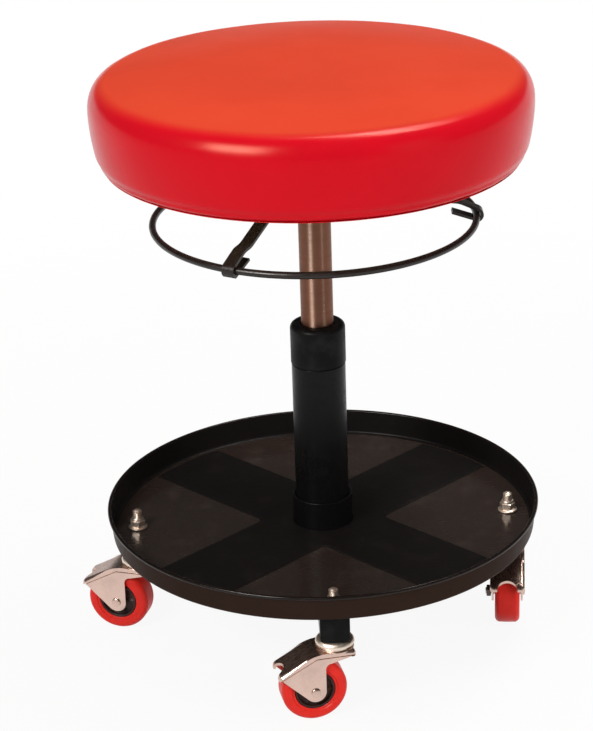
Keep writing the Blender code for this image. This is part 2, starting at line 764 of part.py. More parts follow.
def build_arms():
    bore_size = ARM_SIZE - 2 * ARM_WALL
    tube_end = arm_reach - PLUG_CAP - GAP
    section = [square_outline(ARM_SIZE, ARM_CORNER), square_outline(bore_size, ARM_CORNER / 2)]
    middle_z = arm_bottom_z + ARM_SIZE / 2
    tube_mesh = prism_mesh("arm_tube", section, tube_end)
    cap_mesh = prism_mesh("plug_cap", [square_outline(ARM_SIZE, ARM_CORNER)], PLUG_CAP)
    spigot = prism_mesh(
        "plug_spigot", [square_outline(bore_size - 2 * GAP, ARM_CORNER / 2)], PLUG_SPIGOT + PLUG_CAP
    )
    for name, (bearing, _) in CASTERS.items():
        turn = along_arm(bearing).to_euler()
        tube_place = around(bearing, tube_end / 2, middle_z)
        arm = add_part(f"base_arm_{name}", tube_mesh.copy(), BLACK_STEEL, base, tube_place, turn)
        cope = cylinder_mesh("hub_cope", hub_radius + BORE_GAP, 2 * ARM_SIZE, FINE)
        cut(arm, add_cutter(f"hub_cope_{name}", cope, base, (0, 0, middle_z)))
        hole = cylinder_mesh("arm_hole", STUD_DIAMETER / 2 + BORE_GAP, 2 * ARM_SIZE, COARSE)
        place = around(bearing, caster_circle_radius, middle_z)
        cut(arm, add_cutter(f"arm_hole_{name}", hole, base, place))
        cap_place = around(bearing, arm_reach - PLUG_CAP / 2, middle_z)
        plug = add_part(f"arm_plug_{name}", cap_mesh.copy(), BLACK_PLASTIC, base, cap_place, turn)
        spigot_place = around(bearing, arm_reach - PLUG_CAP / 2 - PLUG_SPIGOT / 2 - PLUG_CAP / 2, middle_z)
        cut(plug, add_cutter(f"plug_spigot_{name}", spigot.copy(), base, spigot_place, turn), "UNION")


def nut_mesh():
    """A hexagon on a round flange, bored for the stud."""
    radius = NUT_ACROSS_FLATS / math.sqrt(3)
    hexagon = bpy.data.objects.new("nut", cylinder_mesh("nut", radius, NUT_HEIGHT, 6))
    hexagon.location = (0, 0, NUT_HEIGHT / 2)
    cutters.objects.link(hexagon)
    flange = cylinder_mesh("nut_flange", NUT_FLANGE_DIAMETER / 2, NUT_FLANGE_THICKNESS, MEDIUM)
    cut(hexagon, add_cutter("nut_flange", flange, None, (0, 0, NUT_FLANGE_THICKNESS / 2)), "UNION")
    bore = cylinder_mesh("nut_bore", STUD_DIAMETER / 2 + BORE_GAP, 4 * NUT_HEIGHT, COARSE)
    cut(hexagon, add_cutter("nut_bore", bore, None))
    mesh = consumed(hexagon)
    mesh.transform(Matrix.Translation((0, 0, NUT_HEIGHT / 2)))
    return mesh


def stem_mesh():
    """The kingpin's riveted head, its shank, the raceway and the stud, turned in one."""
    stud_top = tray_floor_z + STUD_STANDOUT
    head_top = fork_roof_z - GAP
    chamfer = STUD_DIAMETER / 8
    profile = [
        (0.0, stud_top),
        (STUD_DIAMETER / 2 - chamfer, stud_top),
        (STUD_DIAMETER / 2, stud_top - chamfer),
        (STUD_DIAMETER / 2, raceway_top_z),
        (RACEWAY_DIAMETER / 2 - RACEWAY_HEIGHT / 3, raceway_top_z),
        (RACEWAY_DIAMETER / 2, raceway_top_z - RACEWAY_HEIGHT / 3),
        (RACEWAY_DIAMETER / 2, raceway_bottom_z + RACEWAY_GROOVE),
        (RACEWAY_DIAMETER / 2 - RACEWAY_GROOVE, raceway_bottom_z + RACEWAY_GROOVE),
        (RACEWAY_DIAMETER / 2 - RACEWAY_GROOVE, raceway_bottom_z),
        (KINGPIN_DIAMETER / 2, raceway_bottom_z),
        (KINGPIN_DIAMETER / 2, head_top),
        (KINGPIN_HEAD_DIAMETER / 2, head_top),
        (KINGPIN_HEAD_DIAMETER / 2, head_top - KINGPIN_HEAD_THICKNESS),
        (0.0, head_top - KINGPIN_HEAD_THICKNESS),
    ]
    return turned_mesh("caster_stem", profile, MEDIUM, ring=False)


def tangent_angle(point, centre, radius, side):
    """Bearing, from the centre, of the spot where a line from the point touches the circle."""
    offset = Vector(point) - Vector(centre)
    spread = math.acos(radius / offset.length)
    return math.degrees(math.atan2(offset.y, offset.x) + side * spread)


def fork_outline(shrink):
    """Side view of the fork, with the wheel trailing along +X: nose, crown, sloping hood, tip and throat."""
    nose = -(FORK_NOSE - shrink)
    hood_start = CASTER_TRAIL
    hood_end = CASTER_TRAIL + FORK_HOOD_REACH - shrink
    slope = math.atan2(FORK_HOOD_DROP, FORK_HOOD_REACH)
    top = fork_top_z - shrink
    kink = hood_start - shrink * math.tan(slope / 2)
    hood_low = top - (hood_end - kink) * math.tan(slope)
    lip = (hood_end, hood_low - FORK_HOOD_LIP)
    tip = (CASTER_TRAIL, axle_z)
    start = tangent_angle(lip, tip, FORK_TIP_RADIUS, -1)
    throat = (
        CASTER_TRAIL - FORK_TIP_RADIUS - FORK_THROAT_ROUND,
        fork_top_z - FORK_THROAT_DEPTH - FORK_THROAT_ROUND,
    )
    return [
        (nose, top),
        (kink, top),
        (hood_end, hood_low),
        lip,
        *arc(tip, FORK_TIP_RADIUS, start, -180, 6),
        *arc(throat, FORK_THROAT_ROUND, 0, 90, 3),
        (nose, fork_top_z - FORK_NOSE_DEPTH),
    ]


def channel_outline():
    """The space between the cheeks: the fork's outline drawn in by the wall, and open below."""
    drawn = fork_outline(FORK_WALL)
    nose_top, kink, hood_low = drawn[0], drawn[1], drawn[2]
    floor = axle_z - 2 * FORK_TIP_RADIUS
    return [nose_top, kink, hood_low, (hood_low[0], floor), (nose_top[0], floor)]


def fork_mesh():
    body = prism_mesh("fork_body", [fork_outline(0.0)], 2 * fork_outer_half, upright=True)
    fork = bpy.data.objects.new("caster_fork", body)
    cutters.objects.link(fork)
    crown = cylinder_mesh("fork_crown", FORK_CROWN_DIAMETER / 2, FORK_WALL, ROUND)
    cut(fork, add_cutter("fork_crown", crown, None, (0, 0, fork_top_z - FORK_WALL / 2)), "UNION")
    channel = prism_mesh("fork_channel", [channel_outline()], 2 * fork_inner_half, upright=True)
    cut(fork, add_cutter("fork_channel", channel, None))
    pin_hole = cylinder_mesh("kingpin_hole", KINGPIN_DIAMETER / 2 + BORE_GAP, 4 * FORK_WALL, MEDIUM)
    cut(fork, add_cutter("kingpin_hole", pin_hole, None, (0, 0, fork_top_z)))
    axle_hole = cylinder_mesh("axle_hole", AXLE_DIAMETER / 2 + BORE_GAP, 4 * fork_outer_half, COARSE)
    turn = (math.pi / 2, 0, 0)
    cut(fork, add_cutter("axle_hole", axle_hole, None, (CASTER_TRAIL, 0, axle_z), turn))
    return consumed(fork)


def axle_mesh():
    """A bolt through the fork: a low domed head on one cheek, and a plain end that stands out of the nut."""
    cheek = fork_outer_half + GAP
    end = cheek + AXLE_NUT_THICKNESS + AXLE_END_STANDOUT
    shank = AXLE_DIAMETER / 2
    head = AXLE_HEAD_DIAMETER / 2
    profile = [
        (0.0, end),
        (shank, end),
        (shank, -cheek),
        (head, -cheek),
        (head, -cheek - AXLE_HEAD_THICKNESS / 3),
        (head * 2 / 3, -cheek - AXLE_HEAD_THICKNESS * 5 / 6),
        (0.0, -cheek - AXLE_HEAD_THICKNESS),
    ]
    return turned_mesh("caster_axle", profile, COARSE, ring=False)


def axle_nut_mesh():
    radius = AXLE_NUT_ACROSS_FLATS / math.sqrt(3)
    nut = bpy.data.objects.new("axle_nut", cylinder_mesh("axle_nut", radius, AXLE_NUT_THICKNESS, 6))
    cutters.objects.link(nut)
    bore = cylinder_mesh("axle_nut_bore", AXLE_DIAMETER / 2 + BORE_GAP, 4 * AXLE_NUT_THICKNESS, COARSE)
    cut(nut, add_cutter("axle_nut_bore", bore, None))
    mesh = consumed(nut)
    offset = fork_outer_half + GAP + AXLE_NUT_THICKNESS / 2
    mesh.transform(Matrix.Translation((0, 0, offset)))
    return mesh


def tyre_mesh():
    """A crowned tread with rounded shoulders on a plain bore."""
    bore = CORE_DIAMETER / 2 + GAP
    half = WHEEL_WIDTH / 2
    rim = WHEEL_DIAMETER / 2
    shoulder = (rim - TREAD_ROUND, half - TREAD_ROUND)
    seat_half = CORE_WIDTH / 2
    upper = arc(shoulder, TREAD_ROUND, 90, 0, 3)
    lower = [(radius, -height) for radius, height in reversed(upper)]
    return turned_mesh("wheel_tyre", [(bore, seat_half), *upper, *lower, (bore, -seat_half)], ROUND)


def core_mesh():
    """A dished core with a boss round the axle."""
    half = CORE_WIDTH / 2
    outer = CORE_DIAMETER / 2
    flange = outer - FORK_WALL
    boss = CORE_BOSS_DIAMETER / 2
    web = half - CORE_DISH_DEPTH
    bore = AXLE_DIAMETER / 2 + BORE_GAP
    upper = [(bore, half), (boss, half), (boss, web), (flange, web), (flange, half), (outer, half)]
    lower = [(radius, -height) for radius, height in reversed(upper)]
    return turned_mesh("wheel_core", upper + lower, MEDIUM)


def build_casters():
    meshes = {
        "stem": stem_mesh(),
        "fork": fork_mesh(),
        "axle": axle_mesh(),
        "axle_nut": axle_nut_mesh(),
        "tyre": tyre_mesh(),
        "core": core_mesh(),
        "nut": nut_mesh(),
    }
    for name, (bearing, trail_bearing) in CASTERS.items():
        place = around(bearing, caster_circle_radius)
        add_part(f"caster_stem_{name}", meshes["stem"], ZINC, base, place)
        nut_place = place + Vector((0, 0, tray_floor_z + GAP))
        add_part(f"caster_nut_{name}", meshes["nut"], ZINC, base, nut_place)
        caster = empty(f"caster_swivel_{name}", place, base, math.radians(trail_bearing))
        add_part(f"caster_fork_{name}", meshes["fork"], ZINC, caster)
        wheel = empty(f"wheel_spin_{name}", (CASTER_TRAIL, 0, axle_z), caster)
        across = (math.pi / 2, 0, 0)
        add_part(f"caster_axle_{name}", meshes["axle"], ZINC, caster, wheel.location, across)
        add_part(f"axle_nut_{name}", meshes["axle_nut"], DARK_STEEL, caster, wheel.location, across)
        add_part(f"wheel_tyre_{name}", meshes["tyre"], RED_TREAD, wheel, rotation=across)
        add_part(f"wheel_core_{name}", meshes["core"], BLACK_PLASTIC, wheel, rotation=across)


build_seat()
build_gas_lift()
build_ring_lever()
build_column()
build_tray()
build_arms()
build_casters()
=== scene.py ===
"""The pneumatic rolling stool, dressed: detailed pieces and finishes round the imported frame."""

from math import acos, asin, atan2, cos, degrees, radians, sin, tan, tau

import bmesh
import bpy
from mathutils import Matrix, Vector, noise
from mathutils.geometry import delaunay_2d_cdt


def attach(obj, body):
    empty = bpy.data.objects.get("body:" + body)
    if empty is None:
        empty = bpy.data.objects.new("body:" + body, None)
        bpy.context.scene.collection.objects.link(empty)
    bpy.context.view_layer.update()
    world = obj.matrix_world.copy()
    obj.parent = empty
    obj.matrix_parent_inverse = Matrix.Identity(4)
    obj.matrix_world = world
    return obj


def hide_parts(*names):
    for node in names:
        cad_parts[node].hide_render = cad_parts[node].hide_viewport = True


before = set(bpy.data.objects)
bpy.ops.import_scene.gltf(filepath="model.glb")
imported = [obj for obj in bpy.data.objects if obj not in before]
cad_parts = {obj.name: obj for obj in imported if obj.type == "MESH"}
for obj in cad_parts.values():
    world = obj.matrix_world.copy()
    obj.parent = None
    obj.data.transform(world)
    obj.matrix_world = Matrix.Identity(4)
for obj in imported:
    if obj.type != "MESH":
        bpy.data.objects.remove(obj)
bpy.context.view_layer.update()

# Sizes shared with the frame, in metres
SEAT_BOTTOM, SEAT_EDGE, SEAT_CROWN = 0.440, 0.509, 0.006
SEAT_RADIUS, SEAT_TOP_RADIUS, SEAT_SIDE_RADIUS, SEAT_FOOT_RADIUS = 0.1847, 0.1840, 0.1851, 0.1785
SEAT_EDGE_ROUND, SEAT_SIDE_ROUND, SEAT_EDGE_TURN, SEAT_FOOT_ROUND = 0.0140, 0.026, 35, 0.006
RING_RADIUS, RING_Z, WIRE = 0.137, 0.382, 0.003
STRIP_Z, STRIP_WIDTH, STRIP_THICKNESS = 0.428, 0.011, 0.0026
LEVER_BEARINGS = (-120, 0, 120)
LEVER_TOP, LEVER_BOTTOM, LEVER_RIM, LEVER_RADIUS = 0.4264, 0.4234, 0.4397, 0.034
SOCKET_RADIUS, SOCKET_FLANGE, SOCKET_TOP, SOCKET_PLATE = 0.018, 0.025, 0.4131, 0.4051
TUBE_RADIUS, TUBE_BORE, TUBE_BOTTOM, TUBE_TOP = 0.014, 0.012, 0.1902, 0.4151
TAPER_BOTTOM, TAPER_RADIUS, PIN_BORE, PIN_FLOOR = 0.3881, 0.0132, 0.0044, 0.4001
BUSH_TOP, BUSH_BOTTOM, BUSH_RADIUS, BUSH_ROUND = 0.2877, 0.2512, 0.0239, 0.0045
BUSH_BORE, SPIGOT_RADIUS, SPIGOT_BOTTOM = 0.0144, 0.0209, 0.2012
COLUMN_RADIUS, COLUMN_BORE, COLUMN_TOP, COLUMN_BOTTOM = 0.0234, 0.0212, 0.2509, 0.0754
ROD_HOLE, HUB_HOLE, WEB = 0.0054, 0.0187, 0.003
ARM_BOTTOM, ARM_SIZE, ARM_REACH = 0.0721, 0.025, 0.178
HUB_RADIUS, HUB_BORE, HUB_TOP = 0.0263, 0.0237, 0.1256
TRAY_BOTTOM, TRAY_SHEET, TRAY_RIM_Z = 0.0974, 0.0012, 0.1214
TRAY_FLOOR_RADIUS, TRAY_RIM_RADIUS, TRAY_CORNER, RIM_ROLL = 0.187, 0.189, 0.004, 0.0017
TRAY_FLOOR = TRAY_BOTTOM + TRAY_SHEET
STUD_CIRCLE, STUD_RADIUS, STUD_TOP = 0.165, 0.004, 0.1166
FORK_TOP, FORK_SHEET, TRAIL, AXLE_Z = 0.064, 0.002, 0.020, 0.028
CHEEK_INNER, CHEEK_OUTER = 0.0122, 0.0142
WHEEL_RADIUS, WHEEL_HALF, CORE_RADIUS = 0.028, 0.011, 0.017
CASTERS = {"front": (-88, 192), "left": (182, 163), "right": (2, -95), "back": (92, 15)}


def around(bearing, reach, height=0.0):
    angle = radians(bearing)
    return Vector((reach * cos(angle), reach * sin(angle), height))


def rotation(angle, axis):
    return Matrix.Rotation(radians(angle), 4, axis)


def arc(centre, radius, start, end, count):
    points = []
    for i in range(count + 1):
        angle = radians(start + (end - start) * i / count)
        points.append((centre[0] + radius * cos(angle), centre[1] + radius * sin(angle)))
    return points


def rounded(points, radius, closed, count):
    """The outline with each corner replaced by a curve that starts that far from it."""
    made = []
    for i, point in enumerate(points):
        if not closed and i in (0, len(points) - 1):
            made.append(tuple(point))
            continue
        here = Vector(point)
        before = Vector(points[i - 1]) - here
        after = Vector(points[(i + 1) % len(points)]) - here
        if before.angle(-after) < radians(12):
            made.append(tuple(point))
            continue
        start = here + before.normalized() * min(radius, 0.45 * before.length)
        end = here + after.normalized() * min(radius, 0.45 * after.length)
        for step in range(count + 1):
            share = step / count
            made.append(tuple(start.lerp(here, share).lerp(here.lerp(end, share), share)))
    return made


def smoothed(mesh, sharp=35):
    mesh.shade_smooth()
    mesh.set_sharp_from_angle(angle=radians(sharp))
    return mesh


def skin(shape, sharp=35):
    """A mesh from the shape, smooth but for its sharp edges."""
    bmesh.ops.recalc_face_normals(shape, faces=shape.faces)
    mesh = bpy.data.meshes.new("made")
    shape.to_mesh(mesh)
    shape.free()
    return smoothed(mesh, sharp)


def bridge(shape, first, second):
    """Faces between two loops of as many points."""
    faces = []
    for i in range(len(first)):
        j = (i + 1) % len(first)
        faces.append(shape.faces.new((first[i], first[j], second[j], second[i])))
    return faces


def lathe(rings, steps, closed=False, sharp=35):
    """Rings joined from first to last: each (radius, height), or a function of the turn."""
    shape = bmesh.new()
    rows = []
    for ring in rings:
        if not callable(ring) and ring[0] < 1e-6:
            rows.append([shape.verts.new((0, 0, ring[1]))])
            continue
        row = []
        for i in range(steps):
            turn = tau * i / steps
            radius, height = ring(turn) if callable(ring) else ring
            row.append(shape.verts.new((radius * cos(turn), radius * sin(turn), height)))
        rows.append(row)
    pairs = list(zip(rows, rows[1:]))
    if closed:
        pairs.append((rows[-1], rows[0]))
    for upper, lower in pairs:
        for i in range(steps):
            j = (i + 1) % steps
            corners = [upper[i % len(upper)], lower[i % len(lower)]]
            corners += [lower[j % len(lower)], upper[j % len(upper)]]
            face = list(dict.fromkeys(corners))
            if len(face) > 2:
                shape.faces.new(face)
    return skin(shape, sharp)


def cylinder(radius, low, high, steps):
    return lathe([(0.0, high), (radius, high), (radius, low), (0.0, low)], steps)


def prism(outline, low, high, upright=False):
    """A flat outline made thick from low to high: along Z, or along Y when upright."""
    shape = bmesh.new()
    rows = []
    for level in (low, high):
        points = [(x, level, y) if upright else (x, y, level) for x, y in outline]
        rows.append([shape.verts.new(point) for point in points])
        shape.faces.new(rows[-1])
    bridge(shape, *rows)
    return skin(shape)


def applied(obj):
    bpy.context.view_layer.update()
    graph = bpy.context.evaluated_depsgraph_get()
    return bpy.data.meshes.new_from_object(obj.evaluated_get(graph))


def placed(name, data, matrix=None):
    obj = bpy.data.objects.new(name, data)
    bpy.context.scene.collection.objects.link(obj)
    if matrix is not None:
        obj.matrix_world = matrix
    return obj


def carved(mesh, tools, operation="DIFFERENCE"):
    """The mesh with each (tool mesh, matrix) cut from it or joined to it."""
    body = placed("body", mesh)
    helpers = []
    for tool, matrix in tools:
        helper = placed("tool", tool, matrix)
        helpers.append(helper)
        change = body.modifiers.new("carve", "BOOLEAN")
        change.operation = operation
        change.solver = "EXACT"
        change.object = helper
    made = applied(body)
    made.materials.clear()
    for obj in [body, *helpers]:
        bpy.data.objects.remove(obj)
    return made


def welded(mesh, slack=5e-6):
    """The mesh with the slivers that carving left closed up."""
    shape = bmesh.new()
    shape.from_mesh(mesh)
    bmesh.ops.remove_doubles(shape, verts=shape.verts, dist=slack)
    bmesh.ops.dissolve_degenerate(shape, edges=shape.edges, dist=slack)
    shape.to_mesh(mesh)
    shape.free()
    return mesh


def round_off(shape, edges, width, segments):
    bmesh.ops.bevel(
        shape, geom=edges, offset=width, offset_type="OFFSET", segments=segments,
        profile=0.5, affect="EDGES", clamp_overlap=True,
    )


def bevelled(mesh, width, segments=2, angle=40):
    """The mesh with its sharp edges rounded off."""
    shape = bmesh.new()
    shape.from_mesh(mesh)
    bmesh.ops.remove_doubles(shape, verts=shape.verts, dist=1e-6)
    bmesh.ops.dissolve_limit(shape, angle_limit=radians(1), verts=shape.verts, edges=shape.edges)
    limit = radians(angle)
    edges = [e for e in shape.edges if e.is_manifold and e.calc_face_angle() > limit]
    round_off(shape, edges, width, segments)
    made = skin(shape)
    if "custom_normal" in made.attributes:
        made.attributes.remove(made.attributes["custom_normal"])
    return made


def add_piece(name, mesh, finish, body, nodes=(), matrix=None):
    """A finished piece that rides on a body and stands for the CAD nodes named."""
    piece = placed(name, mesh, matrix)
    if not mesh.materials:
        mesh.materials.append(finish)
    normals = piece.modifiers.new("normals", "WEIGHTED_NORMAL")
    normals.keep_sharp = True
    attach(piece, body)
    if nodes:
        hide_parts(*nodes)
    return piece


def dress(node, way, mesh, finish, body, matrix=None):
    """The piece that stands for one CAD node, named after it and the way it is made."""
    return add_piece(f"{node}_{way}", mesh, finish, body, [node], matrix)


# Finishes
class Nodes:
    """A node tree that is put together a node at a time."""

    def __init__(self, tree):
        self.tree = tree

    def node(self, kind, values=None, **settings):
        made = self.tree.nodes.new(kind)
        for key, value in settings.items():
            setattr(made, key, value)
        for key, value in (values or {}).items():
            self.feed(made.inputs[key], value)
        return made

    def feed(self, socket, value):
        if isinstance(value, bpy.types.NodeSocket):
            self.tree.links.new(value, socket)
        else:
            socket.default_value = value

    def between(self, value, low, high, start=0.0, end=1.0):
        """A smooth step from start, at low, to end, at high."""
        values = {"Value": value, "From Min": low, "From Max": high, "To Min": start, "To Max": end}
        made = self.node("ShaderNodeMapRange", values, interpolation_type="SMOOTHSTEP")
        return made.outputs[0]

    def maths(self, operation, first, second=0.0):
        return self.node("ShaderNodeMath", {0: first, 1: second}, operation=operation).outputs[0]

    def vector(self, operation, first, second=(0.0, 0.0, 0.0)):
        made = self.node("ShaderNodeVectorMath", {0: first, 1: second}, operation=operation)
        return made.outputs["Value" if operation == "LENGTH" else "Vector"]

    def upright(self, vector):
        return self.node("ShaderNodeSeparateXYZ", {0: vector}).outputs["Z"]

    def seeing(self):
        """1 for camera, glossy and transmission rays, which see the pale background."""
        path = self.node("ShaderNodeLightPath").outputs
        seen = self.maths("MAXIMUM", path["Is Camera Ray"], path["Is Glossy Ray"])
        return self.maths("MAXIMUM", seen, path["Is Transmission Ray"])


class Finish(Nodes):
    """A material round the standard shader."""

    def __init__(self, name):
        self.material = bpy.data.materials.new(name)
        self.material.use_nodes = True
        super().__init__(self.material.node_tree)
        self.shader = self.tree.nodes["Principled BSDF"]
        self.place = self.node("ShaderNodeTexCoord").outputs["Object"]

    def set(self, **values):
        for key, value in values.items():
            if isinstance(value, tuple) and len(value) == 3:
                value = (*value, 1.0)
            self.feed(self.shader.inputs[key.replace("_", " ")], value)

    def stretched(self, x, y, z):
        return self.node("ShaderNodeMapping", {"Vector": self.place, "Scale": (x, y, z)}).outputs[0]

    def noise(self, scale, detail=4.0, roughness=0.55, place=None):
        values = {"Scale": scale, "Detail": detail, "Roughness": roughness}
        values["Vector"] = place or self.place
        return self.node("ShaderNodeTexNoise", values).outputs["Fac"]

    def cells(self, scale):
        values = {"Vector": self.place, "Scale": scale}
        return self.node("ShaderNodeTexVoronoi", values, feature="SMOOTH_F1").outputs["Distance"]

    def mix(self, share, first, second):
        """A colour between two colours."""
        made = self.node("ShaderNodeMix", {0: share}, data_type="RGBA")
        for socket, value in ((made.inputs[6], first), (made.inputs[7], second)):
            self.feed(socket, (*value, 1.0) if isinstance(value, tuple) else value)
        return made.outputs[2]

    def bump(self, height, strength, distance, under=None):
        values = {"Height": height, "Strength": strength, "Distance": distance}
        if under is not None:
            values["Normal"] = under
        return self.node("ShaderNodeBump", values).outputs[0]

    def upward(self):
        """How far the surface faces up, from -1 to 1."""
        return self.upright(self.node("ShaderNodeTexCoord").outputs["Normal"])


def vinyl_finish():
    """Upholstery vinyl: fine pebble grain and crimson sides, with the top painted orange for warm
    light from above.
    """
    made = Finish("red_vinyl_cover")
    # Painted light: upward faces inside this circle turn orange for warm light from above, and the
    # rest keeps the crimson vinyl.
    lit_top_centre, lit_top_start, lit_top_end = (0.0, 0.006, 0.0), 0.1695, 0.1840
    aside = made.vector("SUBTRACT", made.place, lit_top_centre)
    flat = made.vector("MULTIPLY", aside, (1.0, 1.0, 0.0))
    inside = made.between(made.vector("LENGTH", flat), lit_top_start, lit_top_end, 1.0, 0.0)
    up = made.maths("MULTIPLY", made.between(made.upward(), 0.3, 0.6), inside)
    cloud = made.noise(9.0, 3.0)
    crimson, deep = (0.63, 0.0035, 0.0140), (0.59, 0.0030, 0.0125)
    orange, dull = (0.745, 0.065, 0.025), (0.715, 0.057, 0.022)
    side = made.mix(made.between(cloud, 0.35, 0.7), crimson, deep)
    top = made.mix(made.between(cloud, 0.3, 0.7), orange, dull)
    low = made.upright(made.place)
    # Darker in patches towards the foot.
    foot = made.between(low, SEAT_BOTTOM + 0.001, SEAT_BOTTOM + 0.012, 0.30, 0.0)
    foot_darkening = made.maths("MULTIPLY", foot, made.between(made.noise(60.0, 3.0), 0.2, 0.8))
    made.set(Base_Color=made.mix(foot_darkening, made.mix(up, side, top), (0.34, 0.008, 0.010)), IOR=1.5)
    made.set(Roughness=made.between(made.noise(30.0, 4.0), 0.3, 0.75, 0.21, 0.262))
    made.set(Specular_IOR_Level=0.14, Specular_Tint=(1.0, 0.60, 0.42))
    pebble = made.bump(made.cells(820.0), 0.03, 0.0004)
    made.set(Normal=made.bump(made.noise(2600.0, 2.0), 0.015, 0.0002, pebble))
    return made.material


def paint_finish(name, colour, dusty, rough, specular=0.5, peel=0.06):
    """Black enamel on steel: slight orange peel, settled dust and fine rub marks."""
    made = Finish(name)
    dust = made.between(made.noise(42.0, 6.0, 0.65), 0.50, 0.78)
    flat = made.between(made.upward(), 0.55, 0.95)
    speck = made.between(made.noise(900.0, 2.0), 0.62, 0.74, 0.0, 0.5)
    dirt = made.maths("MULTIPLY", made.maths("ADD", dust, speck), flat)
    base = made.mix(made.noise(14.0, 3.0), colour, tuple(0.75 * c for c in colour))
    made.set(Base_Color=made.mix(made.maths("MULTIPLY", dirt, 0.35), base, dusty))
    lines = made.noise(60.0, 5.0, 0.6, made.stretched(1.0, 9.0, 3.0))
    rubs = made.between(lines, 0.46, 0.72, 0.0, 0.16)
    haze = made.between(made.noise(18.0, 4.0), 0.3, 0.8, rough - 0.04, rough + 0.08)
    made.set(Roughness=made.maths("ADD", haze, rubs), IOR=1.5, Specular_IOR_Level=specular)
    made.set(Normal=made.bump(made.noise(330.0, 2.0), peel, 0.0004))
    return made.material


def plastic_finish(name, colour, rough, specular):
    """Moulded plastic: a fine even texture and slightly paler patches at random."""
    made = Finish(name)
    pale = tuple(min(1.0, 1.9 * c + 0.004) for c in colour)
    made.set(Base_Color=made.mix(made.between(made.noise(70.0, 5.0), 0.4, 0.8), colour, pale))
    cloud = made.noise(45.0, 4.0)
    made.set(Roughness=made.between(cloud, 0.3, 0.7, rough - 0.06, rough + 0.08))
    made.set(IOR=1.46, Specular_IOR_Level=specular)
    made.set(Normal=made.bump(made.noise(1500.0, 2.0), 0.12, 0.0002))
    return made.material


def steel_finish(name, colour, rough, lines, cloudy=0.12, turned=0.0):
    """Plated or polished steel: cloudy, with drawn lines, or turned lines round its Z axis."""
    made = Finish(name)
    cloud = made.between(made.noise(38.0, 5.0), 0.3, 0.75)
    worn = tuple((1.0 - 2.2 * cloudy) * c for c in colour)
    fleck = made.between(made.noise(520.0, 3.0), 0.55, 0.72, 0.0, 0.35)
    base = made.mix(cloud, colour, worn)
    made.set(Base_Color=made.mix(fleck, base, tuple(0.8 * c for c in colour)), Metallic=1.0)
    drawn = made.noise(1.0, 3.0, 0.6, made.stretched(*lines))
    made.set(Roughness=made.between(drawn, 0.3, 0.7, rough - 0.05, rough + 0.07))
    made.set(Normal=made.bump(drawn, 0.05, 0.0001))
    if turned:
        round_z = made.node("ShaderNodeTangent", direction_type="RADIAL", axis="Z")
        made.set(Anisotropic=turned, Anisotropic_Rotation=0.25, Tangent=round_z.outputs[0])
    return made.material


def tread_finish():
    """Cast red urethane: even, faintly cloudy, with a fine mould texture."""
    made = Finish("red_urethane")
    cloud = made.between(made.noise(55.0, 4.0), 0.3, 0.75)
    base = made.mix(cloud, (0.82, 0.027, 0.017), (0.74, 0.022, 0.015))
    grime = made.between(made.noise(210.0, 5.0, 0.6), 0.58, 0.80, 0.0, 0.35)
    made.set(Base_Color=made.mix(grime, base, (0.28, 0.018, 0.014)), IOR=1.48)
    rough = made.between(made.noise(90.0, 4.0), 0.3, 0.75, 0.34, 0.50)
    made.set(Roughness=rough, Specular_IOR_Level=0.22)
    made.set(Normal=made.bump(made.noise(1300.0, 2.0), 0.10, 0.0002))
    return made.material


def plywood_finish():
    """Birch plywood: long grain with darker late wood, and a few flecks."""
    made = Finish("birch_plywood")
    figure = made.noise(1.6, 6.0, 0.62, made.stretched(3.0, 42.0, 42.0))
    base = made.mix(made.between(figure, 0.3, 0.75), (0.58, 0.40, 0.22), (0.40, 0.25, 0.12))
    pores = made.between(made.noise(9.0, 3.0, 0.7, made.stretched(4.0, 160.0, 160.0)), 0.60, 0.74)
    made.set(Base_Color=made.mix(pores, base, (0.25, 0.14, 0.07)), IOR=1.45)
    made.set(Roughness=made.between(figure, 0.3, 0.8, 0.55, 0.75))
    made.set(Normal=made.bump(pores, 0.15, 0.0003))
    return made.material


VINYL = vinyl_finish()
GLOSS_BLACK = paint_finish("gloss_black_enamel", (0.032, 0.022, 0.018), (0.075, 0.055, 0.045), 0.15)
# Satin enamel of the raised cross; on the tray's inner corner and wall its darkness is painted
# shade.
BAND_AND_SHADED_WALL_BLACK = paint_finish(
    "satin_black_enamel_and_painted_shade", (0.0115, 0.0100, 0.0096), (0.026, 0.022, 0.020), 0.34, 0.08,
)
# Painted reflection: the tray's outer wall and underside are black enamel made lighter and browner,
# with almost no gloss, for the pale floor they reflect.
WALL_BLACK_PAINTED_REFLECTION = paint_finish(
    "black_wall_enamel_painted_reflection", (0.0340, 0.0195, 0.0146), (0.045, 0.030, 0.024), 0.30, 0.012, 0.02,
)
RIM_BLACK = paint_finish(
    "black_rim_enamel", (0.0110, 0.0070, 0.0056), (0.030, 0.020, 0.015), 0.22, 0.18, 0.02,
)
TUBE_BLACK = paint_finish(
    "black_tube_enamel", (0.0060, 0.0056, 0.0056), (0.026, 0.023, 0.021), 0.28, 0.12,
)
